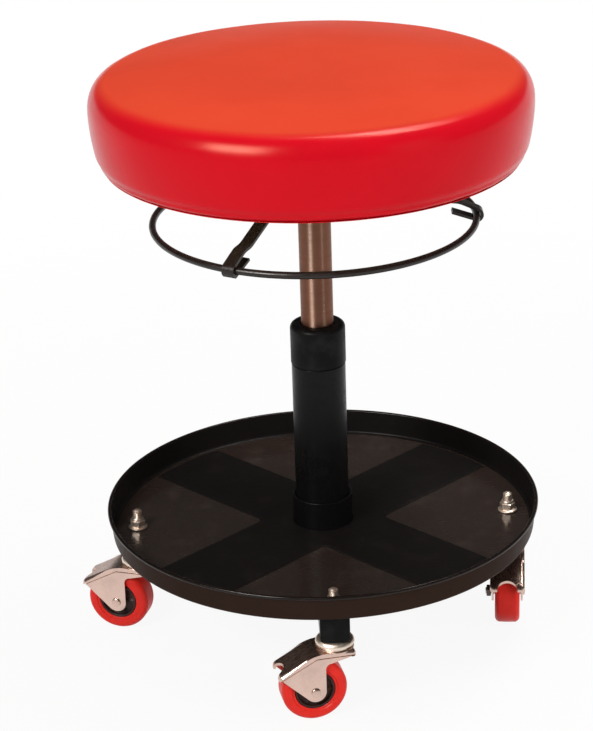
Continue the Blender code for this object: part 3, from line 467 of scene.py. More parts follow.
# Painted light: a lighter, browner copy of the tube enamel, which brightens the arms in the tray's
# shadow.
ARM_BLACK_PAINTED_LIGHT = paint_finish(
    "black_arm_enamel_painted_light", (0.0290, 0.0215, 0.0175), (0.035, 0.028, 0.023), 0.30, 0.12,
)
WIRE_BLACK = paint_finish(
    "black_wire_enamel", (0.016, 0.011, 0.009), (0.05, 0.04, 0.03), 0.30, 0.35,
)
BLACK_PLASTIC = plastic_finish("black_moulding", (0.0050, 0.0048, 0.0049), 0.40, 0.08)
CORE_PLASTIC = plastic_finish("wheel_core_moulding", (0.034, 0.014, 0.011), 0.46, 0.25)
TUBE_STEEL = steel_finish(
    "polished_tube_steel", (0.260, 0.116, 0.073), 0.45, (30.0, 30.0, 1800.0), 0.06, 0.9,
)
ZINC = steel_finish("bright_zinc_plate", (0.73, 0.53, 0.45), 0.30, (160.0, 900.0, 160.0))
NUT_ZINC = steel_finish("zinc_fastener", (0.92, 0.78, 0.66), 0.42, (700.0, 700.0, 90.0))
DARK_STEEL = steel_finish("oiled_steel", (0.10, 0.085, 0.08), 0.34, (300.0, 300.0, 600.0))
TREAD = tread_finish()
PLYWOOD = plywood_finish()


# Seat
SLACK, HELD_BELOW, SWELL_FRAMES, EVENING_ROUNDS = 0.0010, 0.0085, 16, 24


def seat_rings(slack):
    """The cover's profile: crown, edge, side, foot and the shallow hollow over the board."""
    cosine, sine = cos(radians(SEAT_EDGE_TURN)), sin(radians(SEAT_EDGE_TURN))
    flat = SEAT_SIDE_RADIUS - SEAT_EDGE_ROUND * cosine - SEAT_SIDE_ROUND * (1 - cosine)
    drop = SEAT_EDGE_ROUND * (1 - sine) + SEAT_SIDE_ROUND * sine
    rings = [(0.0, SEAT_EDGE + SEAT_CROWN - slack)]
    for i in range(1, 24):
        share = i / 24
        rings.append((flat * share, SEAT_EDGE + (SEAT_CROWN - slack) * (1 - share**2)))
    rings += arc((flat, SEAT_EDGE - SEAT_EDGE_ROUND), SEAT_EDGE_ROUND, 90, SEAT_EDGE_TURN, 7)
    side = (SEAT_SIDE_RADIUS - SEAT_SIDE_ROUND, SEAT_EDGE - drop)
    rings += arc(side, SEAT_SIDE_ROUND, SEAT_EDGE_TURN, 0, 8)[1:]
    height = SEAT_EDGE - SEAT_BOTTOM
    swell = SEAT_RADIUS - (SEAT_TOP_RADIUS + SEAT_FOOT_RADIUS) / 2
    for i in range(1, 12):
        share = (drop + (height - drop - SEAT_FOOT_ROUND) * i / 12) / height
        straight = SEAT_TOP_RADIUS + (SEAT_FOOT_RADIUS - SEAT_TOP_RADIUS) * share
        rings.append((straight + 4 * swell * share * (1 - share), SEAT_EDGE - height * share))
    foot = (SEAT_FOOT_RADIUS - SEAT_FOOT_ROUND, SEAT_BOTTOM + SEAT_FOOT_ROUND)
    rings += arc(foot, SEAT_FOOT_ROUND, 0, -90, 8)
    hollow = ((0.166, 0.0008), (0.1615, 0.003), (0.158, 0.007), (0.10, 0.008), (0.0, 0.008))
    return rings + [(radius, SEAT_BOTTOM + rise) for radius, rise in hollow]


def swollen(start):
    """The slack cover blown up by its foam and held at its foot, with its travel evened out."""
    obj = placed("cover", start)
    held = obj.vertex_groups.new(name="held")
    low = [v.index for v in start.vertices if v.co.z < SEAT_BOTTOM + HELD_BELOW]
    held.add(low, 1.0, "REPLACE")
    cloth = obj.modifiers.new("cloth", "CLOTH").settings
    cloth.quality = 6
    cloth.mass = 0.3
    cloth.use_pressure = True
    cloth.uniform_pressure_force = 0.25
    cloth.vertex_group_mass = "held"
    cloth.effector_weights.gravity = 0.0
    cloth.tension_stiffness = cloth.compression_stiffness = 15.0
    cloth.shear_stiffness = 5.0
    cloth.bending_stiffness = 0.5
    scene = bpy.context.scene
    for number in range(1, SWELL_FRAMES + 1):
        scene.frame_set(number)
    blown = applied(obj)
    scene.frame_set(1)
    bpy.data.objects.remove(obj)
    moves = [after.co - before.co for before, after in zip(start.vertices, blown.vertices)]
    pairs = [tuple(edge.vertices) for edge in start.edges]
    for _ in range(EVENING_ROUNDS):
        sums, counts = [move.copy() for move in moves], [1] * len(moves)
        for a, b in pairs:
            sums[a] += moves[b]
            sums[b] += moves[a]
            counts[a] += 1
            counts[b] += 1
        moves = [total / count for total, count in zip(sums, counts)]
    for before, after, move in zip(start.vertices, blown.vertices, moves):
        after.co = before.co + move
    return blown


def settled(mesh):
    """Lets the stuffing show as a slight unevenness, and the foot as faint pleats."""
    shape = bmesh.new()
    shape.from_mesh(mesh)
    shape.normal_update()
    moves = []
    for vert in shape.verts:
        soft = noise.noise(vert.co * 14.0) * 0.00035 + noise.noise(vert.co * 38.0) * 0.00008
        low = max(0.0, 1.0 - (vert.co.z - SEAT_BOTTOM) / 0.012)
        turn = atan2(vert.co.y, vert.co.x)
        drift = noise.noise((cos(turn) * 3, sin(turn) * 3, 0.5))
        pleat = sin(46 * turn + 2.4 * drift)
        moves.append(vert.normal * (soft + 0.00020 * pleat * low))
    for vert, move in zip(shape.verts, moves):
        vert.co += move
    return skin(shape, 180)


def cover_hem():
    """The cover's edge, turned in under the board and pleated between its staples."""
    shape = bmesh.new()
    steps, across, inner_edge, outer_edge, thickness = 288, 10, 0.1455, 0.1755, 0.0011
    sides = []
    for upper in (False, True):
        rows = []
        for k in range(across + 1):
            share = k / across
            row = []
            for i in range(steps):
                turn = tau * i / steps
                ripple = noise.noise((cos(turn) * 5, sin(turn) * 5, 2.0))
                fold = 0.5 + 0.5 * sin(48 * turn + 3.0 * ripple)
                inner = inner_edge + 0.0022 * ripple + 0.0012 * fold
                radius = inner + (outer_edge - inner) * share
                depth = 0.0006 + 0.0017 * fold * (1 - share) ** 0.7 + 0.0008 * (1 - share)
                height = SEAT_BOTTOM - 0.0002 - depth
                if upper:
                    height = min(height + thickness, SEAT_BOTTOM - 0.0001)
                row.append(shape.verts.new(around(degrees(turn), radius, height)))
            rows.append(row)
        sides.append(rows)
    loops = sides[0] + sides[1][::-1]
    for first, second in zip(loops, loops[1:] + loops[:1]):
        bridge(shape, first, second)
    return skin(shape, 60)


def build_cushion():
    pad = settled(swollen(lathe(seat_rings(SLACK), 144, sharp=180)))
    shape = bmesh.new()
    for mesh in (pad, cover_hem()):
        shape.from_mesh(mesh)
    piece = dress("seat_cushion", "padded", skin(shape, 60), VINYL, "seat")
    piece.modifiers.clear()
    fine = piece.modifiers.new("fine", "SUBSURF")
    fine.levels = fine.render_levels = 1


def build_staples():
    """Wire staples round the hem."""
    shape = bmesh.new()
    count, radius = 48, 0.1535
    bars = [((0, 0, 0), (0.010, 0.0011, 0.0007))]
    bars += [((end * 0.0046, 0, 0.0018), (0.0007, 0.0011, 0.0036)) for end in (-1, 1)]
    for i in range(count):
        bearing = 360 * (i + 0.5) / count + 5 * noise.noise((i * 1.7, 0.3, 0.0))
        skew = 14 * noise.noise((i * 2.3, 4.0, 1.0))
        place = Matrix.Translation(around(bearing, radius, SEAT_BOTTOM - 0.0034))
        place = place @ rotation(bearing + 90 + skew, "Z")
        for centre, size in bars:
            matrix = place @ Matrix.Translation(centre) @ Matrix.Diagonal((*size, 1))
            bmesh.ops.create_cube(shape, size=1.0, matrix=matrix)
    staples = bevelled(skin(shape), 0.0002, 2)
    add_piece("seat_staples", staples, NUT_ZINC, "seat")


def hexagon(across, chamfer, low, top):
    """Rings of a hexagon: its foot, its chamfered upper edge and the chamfer's inner circle."""
    def edge(level, slope):
        def ring(turn):
            off = (degrees(turn) + 30) % 60 - 30
            radius = across / 2 / cos(radians(off))
            return radius, level - max(0.0, radius - chamfer) * slope
        return ring
    return edge(low, 0.0), edge(top - 0.0001, 0.5), (chamfer, top)


def build_under_seat():
    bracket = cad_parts["seat_bracket"].data.copy()
    bracket.materials.clear()
    bracket = bevelled(bracket, 0.0007)
    dress("seat_bracket", "pressed", bracket, TUBE_BLACK, "seat")
    head = [
        (0.0, 0.0), (0.0085, 0.0), (0.0085, 0.0010), (0.0066, 0.0012),
        *hexagon(0.013, 0.0060, 0.0013, 0.0053),
        (0.0035, 0.0053), (0.0030, 0.0048), (0.0, 0.0048),
    ]
    bolt = lathe(head, 48)
    foot, bolt_circle = SEAT_BOTTOM - 0.0003 - 0.003 - 0.0003, 0.090
    for number, bearing in enumerate((-60, 60, 180), start=1):
        matrix = Matrix.Translation(around(bearing, bolt_circle, foot)) @ rotation(180, "X")
        dress(f"seat_bolt_{number}", "hex", bolt, NUT_ZINC, "seat", matrix)
    flange = [(SOCKET_RADIUS, SOCKET_PLATE), (SOCKET_FLANGE, SOCKET_PLATE)]
    flange += [(radius, level - 0.003) for radius, level in reversed(flange)]
    outline = [(SOCKET_RADIUS, SOCKET_TOP), *flange, (SOCKET_RADIUS, TAPER_BOTTOM)]
    outline += [(0.0143, TAPER_BOTTOM), (0.01357, SOCKET_TOP)]
    socket = lathe(rounded(outline, 0.0006, True, 3), 72, True)
    dress("taper_socket", "turned", socket, TUBE_BLACK, "seat")


# Gas lift, bush and column
def cup(radius, bore, hole, bottom, top, soft):
    """A tube with a web across its foot, and a hole in the web."""
    outline = [(radius, top), (radius, bottom), (hole, bottom), (hole, bottom + WEB)]
    outline += [(bore, bottom + WEB), (bore, top)]
    return lathe(rounded(outline, soft, True, 3), 96, True)


def build_column():
    outline = [(TAPER_RADIUS, TUBE_TOP), (TUBE_RADIUS, TAPER_BOTTOM), (TUBE_RADIUS, TUBE_BOTTOM)]
    outline += [(TUBE_BORE, TUBE_BOTTOM), (TUBE_BORE, PIN_FLOOR)]
    outline += [(PIN_BORE, PIN_FLOOR), (PIN_BORE, TUBE_TOP)]
    tube = lathe(rounded(outline, 0.0006, True, 3), 96, True)
    dress("pressure_tube", "polished", tube, TUBE_STEEL, "seat")
    outline = [
        (BUSH_BORE, BUSH_TOP - 0.0008), (0.0152, BUSH_TOP),
        *arc((BUSH_RADIUS - BUSH_ROUND, BUSH_TOP - BUSH_ROUND), BUSH_ROUND, 90, 0, 10),
        (BUSH_RADIUS, BUSH_BOTTOM + 0.0008), (BUSH_RADIUS - 0.0006, BUSH_BOTTOM),
        (SPIGOT_RADIUS, BUSH_BOTTOM), (SPIGOT_RADIUS, SPIGOT_BOTTOM), (BUSH_BORE, SPIGOT_BOTTOM),
    ]
    bush = lathe(outline, 96, True)
    dress("guide_bush", "moulded", bush, BLACK_PLASTIC, "base")
    column = cup(COLUMN_RADIUS, COLUMN_BORE, ROD_HOLE, COLUMN_BOTTOM, COLUMN_TOP, 0.0005)
    dress("column_tube", "drawn", column, TUBE_BLACK, "base")
    hub = cup(HUB_RADIUS, HUB_BORE, HUB_HOLE, ARM_BOTTOM, HUB_TOP, 0.0008)
    dress("base_hub", "turned", hub, TUBE_BLACK, "base")


# Ring lever
def strip_outline(path):
    """The strip's two sides, half its thickness from the path."""
    points = [Vector(point) for point in path]
    left, right = [], []
    for i, point in enumerate(points):
        before = points[max(i - 1, 0)]
        after = points[min(i + 1, len(points) - 1)]
        first = (point - before).normalized() if i else (after - point).normalized()
        second = (after - point).normalized() if i < len(points) - 1 else first
        along = (first + second).normalized()
        side = Vector((-along.y, along.x)) * (STRIP_THICKNESS / 2 / max(along.dot(first), 0.5))
        left.append(tuple(point + side))
        right.append(tuple(point - side))
    return left + right[::-1]


def strip_path():
    """Level over the hub, down to a joggle, out to the hoop, round its wire and back underneath."""
    gap, rise, length, start, inner_bend = 0.0006, 19, 0.0235, 0.0243, (0.1130, 0.3948)
    wire, joggle = Vector((RING_RADIUS, RING_Z)), Vector((0.1225, 0.3940))
    bend = WIRE + gap + STRIP_THICKNESS / 2
    reach = wire - joggle
    slope = atan2(reach.y, reach.x) + asin(bend / reach.length)
    loop = arc(wire, bend, degrees(slope) + 90, rise - 90, 18)
    back = Vector((-cos(radians(rise)), sin(radians(rise)))) * length
    bends = [(start, STRIP_Z), (LEVER_RADIUS, STRIP_Z), inner_bend, tuple(joggle), loop[0]]
    path = rounded(bends, 0.003, False, 5)
    return path[:-1] + loop + [tuple(Vector(loop[-1]) + back)]


def build_ring_lever():
    hoop = arc((RING_RADIUS, RING_Z), WIRE, 0, 360, 16)[:-1]
    ring = lathe(hoop, 192, True)
    dress("lever_ring", "wire", ring, WIRE_BLACK, "ring_lever")
    outline = strip_outline(strip_path())
    strip = prism(outline, -STRIP_WIDTH / 2, STRIP_WIDTH / 2, upright=True)
    strip = bevelled(strip, 0.0005, 2, 60)
    for number, bearing in enumerate(LEVER_BEARINGS, start=1):
        turn = rotation(bearing, "Z")
        dress(f"lever_arm_{number}", "strip", strip, WIRE_BLACK, "ring_lever", turn)
    outline = [
        (0.0, LEVER_TOP), (0.020, LEVER_TOP), (0.020, LEVER_RIM), (0.024, LEVER_RIM),
        (0.024, LEVER_TOP), (LEVER_RADIUS, LEVER_TOP), (LEVER_RADIUS, LEVER_BOTTOM),
        (0.0, LEVER_BOTTOM),
    ]
    hub = lathe(rounded(outline, 0.0008, False, 3), 72)
    dress("lever_hub", "pressed", hub, TUBE_BLACK, "ring_lever")


# Tray
CROSS_HALF, CROSS_REACH, CROSS_THROAT = 0.036, 0.178, 0.007
CROSS_RISE, CROSS_RUN = 0.0015, 0.003
TRAY_STEPS, HOLE_STEPS, CORNER_STEPS = 192, 96, 7


def cross_loop(offset):
    """The raised cross's outline, let out by offset, with filleted throats and round ends."""
    half, reach, throat = CROSS_HALF + offset, CROSS_REACH + offset, CROSS_THROAT - offset
    half_angle = degrees(asin(half / reach))
    points = []
    for quarter in range(4):
        axis = 45 + 90 * quarter
        turn = Matrix.Rotation(radians(axis), 2)
        for point in arc((half + throat, -half - throat), throat, 180, 90, 5):
            points.append(tuple(turn @ Vector(point)))
        for i in range(9):
            bearing = axis - half_angle + 2 * half_angle * i / 8
            points.append(tuple(around(bearing, reach).xy))
    return points


def tray_floor_net(hole):
    """Points and triangles of the floor, which follow the cross's edge, with each point's rise."""
    loops, rises = [], []
    for share in (i / 5 for i in range(6)):
        loops.append(cross_loop(CROSS_RUN * share))
        rises.append(CROSS_RISE * (1 - share * share * (3 - 2 * share)))
    bound = TRAY_FLOOR_RADIUS - TRAY_CORNER
    loops.append(arc((0, 0), bound, 0, 360, TRAY_STEPS)[:-1])
    loops.append(arc((0, 0), hole, 0, 360, HOLE_STEPS)[:-1])
    rises += [0.0, CROSS_RISE]
    points, edges, heights = [], [], []
    for loop, rise in zip(loops, rises):
        first = len(points)
        points += [Vector(point) for point in loop]
        heights += [rise] * len(loop)
        edges += [(first + i, first + (i + 1) % len(loop)) for i in range(len(loop))]
    found = delaunay_2d_cdt(points, edges, [], 0, 1e-7)
    verts, triangles, origins = found[0], found[2], found[3]
    rise_of = [heights[origin[0]] if origin else 0.0 for origin in origins]
    kept = []
    for triangle in triangles:
        centre = sum((Vector(verts[i]) for i in triangle), Vector((0, 0))) / 3
        if centre.length > hole * 0.999:
            kept.append(triangle)
    return verts, kept, rise_of


def build_tray():
    hole = HUB_RADIUS + 0.0004
    verts, triangles, rises = tray_floor_net(hole)
    shape = bmesh.new()
    for level, flip in ((TRAY_FLOOR, False), (TRAY_BOTTOM, True)):
        net = [shape.verts.new((v[0], v[1], level + rise)) for v, rise in zip(verts, rises)]
        for triangle in triangles:
            face = shape.faces.new([net[i] for i in (triangle[::-1] if flip else triangle)])
            levels = [rises[i] for i in triangle]
            raised = (max(levels) + min(levels)) / 2 > CROSS_RISE * 0.2
            face.material_index = 0 if flip else 1 if raised else 2
    run, rise = TRAY_RIM_RADIUS - TRAY_FLOOR_RADIUS, TRAY_RIM_Z - TRAY_BOTTOM
    lean = degrees(atan2(run, rise))
    corner = (TRAY_FLOOR_RADIUS - TRAY_CORNER, TRAY_BOTTOM + TRAY_CORNER)
    wall = [
        *arc(corner, TRAY_CORNER - TRAY_SHEET, -90, -lean, CORNER_STEPS),
        *arc((TRAY_RIM_RADIUS, TRAY_RIM_Z - RIM_ROLL), RIM_ROLL, 165, -95, 16),
        *arc(corner, TRAY_CORNER, -lean, -90, CORNER_STEPS),
    ]
    collar = [(hole, TRAY_BOTTOM + CROSS_RISE), (hole, TRAY_FLOOR + CROSS_RISE)]
    for profile, steps in ((wall, TRAY_STEPS), (collar, HOLE_STEPS)):
        rows = []
        for radius, height in profile:
            turns = [360 * i / steps for i in range(steps)]
            rows.append([shape.verts.new(around(turn, radius, height)) for turn in turns])
        for level, (upper, lower) in enumerate(zip(rows, rows[1:])):
            for face in bridge(shape, lower, upper):
                # Painted shade: the inner corner and inner wall take the darker satin enamel of the
                # cross.
                if level <= CORNER_STEPS:
                    face.material_index = 1
                elif face.calc_center_median().z > TRAY_RIM_Z - 2 * RIM_ROLL:
                    face.material_index = 3
    bmesh.ops.remove_doubles(shape, verts=shape.verts, dist=2e-6)
    mesh = skin(shape, 40)
    # By slot: outer wall and underside with the painted floor reflection, raised cross and inner
    # wall with painted shade on the wall, floor sectors, rim.
    for finish in (WALL_BLACK_PAINTED_REFLECTION, BAND_AND_SHADED_WALL_BLACK, GLOSS_BLACK, RIM_BLACK):
        mesh.materials.append(finish)
    dress("tray", "pressed", mesh, None, "base")


# Arms
def square(size, corner):
    half = size / 2
    points = [(half, -half), (half, half), (-half, half), (-half, -half)]
    return rounded(points, corner, True, 5)


def ring_prism(outer, inner, low, high):
    """A tube between two outlines of as many points."""
    shape = bmesh.new()
    rows = []
    for outline, level in ((outer, low), (outer, high), (inner, high), (inner, low)):
        rows.append([shape.verts.new((x, y, level)) for x, y in outline])
    for first, second in zip(rows, rows[1:] + rows[:1]):
        bridge(shape, first, second)
    return skin(shape)


def along_arm(bearing, reach):
    middle = Matrix.Translation(around(bearing, reach, ARM_BOTTOM + ARM_SIZE / 2))
    return middle @ rotation(bearing, "Z") @ rotation(90, "Y")


def build_arms():
    plug, gap = 0.002, 0.0003
    outer, inner = square(ARM_SIZE, 0.0032), square(ARM_SIZE - 0.004, 0.0014)
    tube = ring_prism(outer, inner, 0.0, ARM_REACH - plug - gap)
    cope = cylinder(HUB_RADIUS + 0.0002, -0.04, 0.04, 96)
    tube = smoothed(carved(tube, [(cope, rotation(90, "Y"))]))
    cap = bevelled(prism(square(ARM_SIZE, 0.0034), -plug, 0.0), 0.0008, 3, 50)
    for name, (bearing, _) in CASTERS.items():
        start, end = along_arm(bearing, 0.0), along_arm(bearing, ARM_REACH)
        dress(f"base_arm_{name}", "tube", tube, ARM_BLACK_PAINTED_LIGHT, "base", start)
        dress(f"arm_plug_{name}", "cap", cap, BLACK_PLASTIC, "base", end)


# Casters
def thread(radius, pitch, depth, low, high, per_turn=8):
    """Rings of a screw thread from high down to low, with its ends run out."""
    count = max(2, round((high - low) / pitch * per_turn))
    rings = []
    for i in range(count + 1):
        level = high + (low - high) * i / count
        run_out = min(1.0, i / per_turn, (count - i) / per_turn)
        def ring(turn, level=level, run_out=run_out):
            wave = 0.5 - 0.5 * cos(tau * (level / pitch - turn / tau))
            return radius - depth * run_out * wave, level
        rings.append(ring)
    return rings


def stem_mesh():
    """The stud with its thread, the domed raceway and the riveted kingpin."""
    bottom, top, race, pin, rivet = 0.0643, 0.0718, 0.0165, 0.006, 0.0085
    tip = ((0.0, 0.0), (0.0016, 0.0001), (0.0026, 0.0005), (0.0034, 0.0013))
    profile = [(radius, STUD_TOP - drop) for radius, drop in tip]
    profile += thread(STUD_RADIUS, 0.00125, 0.00075, 0.1040, STUD_TOP - 0.0016)
    profile += [(STUD_RADIUS, 0.1035), (STUD_RADIUS, top), (0.0100, top), (0.0125, top - 0.0003)]
    profile += arc((0.0127, top - 0.0041), 0.0038, 80, 0, 7)
    skirt = [(race, 0.0030), (race - 0.0002, 0.0024), (0.0145, 0.0022), (0.0143, 0.0018)]
    profile += [(radius, bottom + rise) for radius, rise in skirt + [(0.0143, 0.0), (pin, 0.0)]]
    profile += [(pin, 0.0617), (rivet, 0.0617), (rivet, 0.0597), (0.0075, 0.0588), (0.0, 0.0587)]
    return lathe(profile, 64)


def flange_nut_mesh():
    """A lock nut: washer flange, hexagon and the round collar that grips the thread."""
    rings = [
        (0.0044, 0.0), (0.0083, 0.0), (0.0085, 0.0003), (0.0085, 0.0012),
        (0.0080, 0.0017), (0.0066, 0.0023), *hexagon(0.012, 0.0057, 0.0026, 0.0078),
        (0.0055, 0.0080), (0.0054, 0.0092), (0.0050, 0.0099), (0.0044, 0.0100),
    ]
    return lathe(rings, 72, True)


def axle_mesh():
    cheek, shank, head, dome = CHEEK_OUTER + 0.0002, 0.0030, 0.0039, 0.0012
    end, rim = cheek + 0.005, -cheek - 0.0004
    profile = [(0.0, end), (0.0026, end), (shank, end - 0.0005), (shank, -cheek)]
    profile += [(head, -cheek), (head, rim)]
    for angle in (radians(90 * i / 8) for i in range(1, 8)):
        profile.append((head * cos(angle), rim - dome * sin(angle)))
    return lathe(profile + [(0.0, rim - dome)], 48)


def axle_nut_mesh():
    start, bore = CHEEK_OUTER + 0.0003, 0.0034
    end = start + 0.004
    rings = [(bore, start), (0.0046, start), *hexagon(0.010, 0.0047, start + 0.0004, end)]
    return lathe(rings + [(0.0038, end), (bore, end - 0.0004)], 48, True)


def mirrored(rings):
    """The rings, and then their mirror images below the middle."""
    def below(ring):
        if callable(ring):
            return lambda turn: (ring(turn)[0], -ring(turn)[1])
        return ring[0], -ring[1]
    return rings + [below(ring) for ring in reversed(rings)]


def tyre_mesh():
    """Crowned tread with rounded shoulders, a fine mould line and a stepped side wall."""
    rim, bore, seat, shoulder = WHEEL_RADIUS, CORE_RADIUS + 0.0003, 0.0100, 0.0050
    upper = [(bore, seat - 0.0004), (bore + 0.0004, seat), (bore + 0.0020, seat + 0.0002)]
    upper += [(bore + 0.0026, WHEEL_HALF)]
    upper += arc((rim - shoulder, WHEEL_HALF - shoulder), shoulder, 90, 0, 9)
    upper[-1] = (rim - 0.00015, WHEEL_HALF - shoulder)
    upper += [(rim, 0.0016), (rim, 0.0004)]
    return lathe(mirrored(upper), 96, True)


def core_mesh():
    """A dished core with a boss, a rim bead and six ribs."""
    half, web, boss, rib, soft = 0.0100, 0.0070, 0.0065, 0.0016, 0.0004
    flange = CORE_RADIUS - 0.002
    def ribbed(radius):
        return lambda turn: (radius, web + rib * max(0.0, cos(6 * turn)) ** 6)
    dish = flange - boss - 0.0016
    upper = [(0.0034, half - soft), (0.0038, half), (boss - soft, half), (boss, half - soft)]
    upper += [(boss + 0.0003, web + soft)]
    upper += [ribbed(boss + 0.0008 + dish * i / 6) for i in range(7)]
    upper += [(flange - 0.0003, web + soft), (flange, half - soft), (flange + soft, half)]
    upper += [(CORE_RADIUS - soft, half), (CORE_RADIUS, half - soft)]
    return lathe(mirrored(upper), 72, True)


HOOD_HALF, HOOD_FOLD, HOOD_SKIRT, CREASE = 0.0153, 0.0030, 0.0038, 0.0016
NOSE, HOOD_KINK, HOOD_END, HOOD_LOW = -0.0148, 0.0195, 0.0512, 0.0470
NOSE_LOW, LIP_LOW = 0.0585, 0.0428
HOOD_SLOPE = atan2(FORK_TOP - HOOD_LOW, HOOD_END - HOOD_KINK)
INNER_KINK, HOOD_ROOF = HOOD_KINK - HOOD_SKIRT * tan(HOOD_SLOPE / 2), FORK_TOP - HOOD_SKIRT
CHEEK_NOSE, CHEEK_END, CHEEK_TOP = -0.0138, 0.0497, FORK_TOP - 0.0012


def hood_mesh():
    """The pressed hood: nose, level crown and slope to the lip, its outer edges folded round."""
    bends = [(NOSE, FORK_TOP), (HOOD_KINK, FORK_TOP), (HOOD_END, HOOD_LOW)]
    outer = [(NOSE, NOSE_LOW), *rounded(bends, 0.009, False, 5), (HOOD_END, LIP_LOW)]
    inner_end = HOOD_END - HOOD_SKIRT
    fall = (inner_end - HOOD_KINK) * tan(HOOD_SLOPE)
    inner_low = FORK_TOP - fall - HOOD_SKIRT / cos(HOOD_SLOPE)
    inner = [(inner_end, LIP_LOW), (inner_end, inner_low), (INNER_KINK, HOOD_ROOF)]
    inner += [(NOSE + HOOD_SKIRT, HOOD_ROOF), (NOSE + HOOD_SKIRT, NOSE_LOW)]
    shape = bmesh.new()
    outline = outer + inner
    rows = [[shape.verts.new((x, y, z)) for x, z in outline] for y in (-HOOD_HALF, HOOD_HALF)]
    shape.faces.new(rows[0])
    shape.faces.new(rows[1][::-1])
    for i in range(len(outline)):
        j = (i + 1) % len(outline)
        shape.faces.new((rows[0][i], rows[1][i], rows[1][j], rows[0][j]))
    folds = []
    for row in rows:
        for first, second in zip(row[: len(outer)], row[1 : len(outer)]):
            folds.append(shape.edges.get((first, second)))
    for i in (1, len(outer) - 2):
        folds.append(shape.edges.get((rows[0][i], rows[1][i])))
    round_off(shape, folds, HOOD_FOLD, 6)
    return skin(shape)


def crease_mesh(side):
    """The groove along a cheek, just under the hood's folded edge."""
    start, end = -0.0135, 0.0500
    low = HOOD_ROOF - (end - INNER_KINK) * tan(HOOD_SLOPE)
    upper = [(start, HOOD_ROOF), (INNER_KINK, HOOD_ROOF), (end, low)]
    lower = [(x, z - CREASE) for x, z in reversed(upper)]
    near, far = sorted((side * (CHEEK_INNER + 0.0007), side * (HOOD_HALF + 0.001)))
    return prism(upper + lower, near, far, upright=True)


def wheel_room():
    """The space inside the fork, open below."""
    roof, floor = FORK_TOP - FORK_SHEET, 0.005
    front, back = NOSE + FORK_SHEET, HOOD_END - FORK_SHEET
    outline = [(front, roof), (HOOD_KINK - 0.0005, roof), (back, 0.0458)]
    outline += [(back, floor), (front, floor)]
    return prism(outline, -CHEEK_INNER, CHEEK_INNER, upright=True)


def cheek_outline():
    """The cheek: down from the hood, round the axle and up the throat to the nose."""
    tip, radius, throat_round = (TRAIL, AXLE_Z), 0.009, 0.005
    lip = (CHEEK_END, 0.0440)
    offset = Vector(lip) - Vector(tip)
    start = degrees(atan2(offset.y, offset.x) - acos(radius / offset.length))
    throat = (TRAIL - radius - throat_round, FORK_TOP - 0.0105 - throat_round)
    return [
        (CHEEK_NOSE, CHEEK_TOP), (HOOD_KINK, CHEEK_TOP), (CHEEK_END, 0.0472), lip,
        *arc(tip, radius, start, -180, 20), *arc(throat, throat_round, 0, 90, 8),
        (CHEEK_NOSE, FORK_TOP - 0.0055),
    ]


def fork_mesh():
    level = Matrix.Identity(4)
    inner, outer = CHEEK_INNER - 0.0002, CHEEK_OUTER - 0.0002
    parts = []
    for low, high in ((inner, outer), (-outer, -inner)):
        cheek = prism(cheek_outline(), low, high, upright=True)
        parts.append((bevelled(cheek, 0.0004, 2, 60), level))
    crown = [(0.0, 0.0), (0.0156, 0.0), (0.016, 0.0004)]
    crown += [(0.016, 0.0016), (0.0156, 0.002), (0.0, 0.002)]
    crown = lathe([(radius, FORK_TOP - drop) for radius, drop in crown], 64)
    fork = carved(hood_mesh(), [*parts, (crown, level)], "UNION")
    fork = carved(fork, [(wheel_room(), level)])
    pin = cylinder(0.0064, 0.055, 0.07, 48)
    bolt = cylinder(0.0034, -0.02, 0.02, 32)
    across = Matrix.Translation((TRAIL, 0, AXLE_Z)) @ rotation(90, "X")
    scallop = cylinder(0.0095, 0.03, 0.07, 64)
    behind = Matrix.Translation((HOOD_END + 0.0028, 0, 0))
    fork = carved(fork, [(pin, level), (bolt, across), (scallop, behind)])
    return smoothed(welded(carved(fork, [(crease_mesh(side), level) for side in (-1, 1)])))


def build_casters():
    rows = (
        ("caster_stem", stem_mesh(), NUT_ZINC, "zinc_plate", "stud"),
        ("caster_nut", flange_nut_mesh(), NUT_ZINC, "zinc_plate", "floor"),
        ("caster_fork", fork_mesh(), ZINC, "zinc_plate", "fork"),
        ("caster_axle", axle_mesh(), ZINC, "zinc_plate", "axle"),
        ("axle_nut", axle_nut_mesh(), DARK_STEEL, "dark_steel", "axle"),
        ("wheel_tyre", tyre_mesh(), TREAD, "red_tread", "wheel"),
        ("wheel_core", core_mesh(), CORE_PLASTIC, "black_plastic", "wheel"),
    )
    for name, (bearing, trail) in CASTERS.items():
        stand = Matrix.Translation(around(bearing, STUD_CIRCLE))
        swivel = stand @ rotation(trail, "Z")
        wheel = swivel @ Matrix.Translation((TRAIL, 0, AXLE_Z)) @ rotation(90, "X")
        # Each nut has stopped at a turn of its own
        turn = Matrix.Rotation(0.4 + bearing, 4, "Z")
        on_floor = stand @ Matrix.Translation((0, 0, TRAY_FLOOR + 0.0003)) @ turn
        places = {
            "stud": (stand, "base"), "floor": (on_floor, "base"), "fork": (swivel, f"fork_{name}"),
            "axle": (wheel, f"fork_{name}"), "wheel": (wheel, f"wheel_{name}"),
        }
        for kind, mesh, finish, slot, where in rows:
            matrix, body = places[where]
            dress(f"{kind}_{name}", "made", mesh, finish, body, matrix)


def dress_plain_nodes():
    """Finishes for the CAD nodes that show as they are."""
    finishes = {"seat_board": PLYWOOD, "release_pin": NUT_ZINC, "piston_rod": TUBE_STEEL}
    inner = ("tube_end_guide", "piston", "rod_clip", "thrust_bearing")
    for name, finish in (finishes | dict.fromkeys(inner, DARK_STEEL)).items():
        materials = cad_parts[name].data.materials
        materials.clear()
        materials.append(finish)


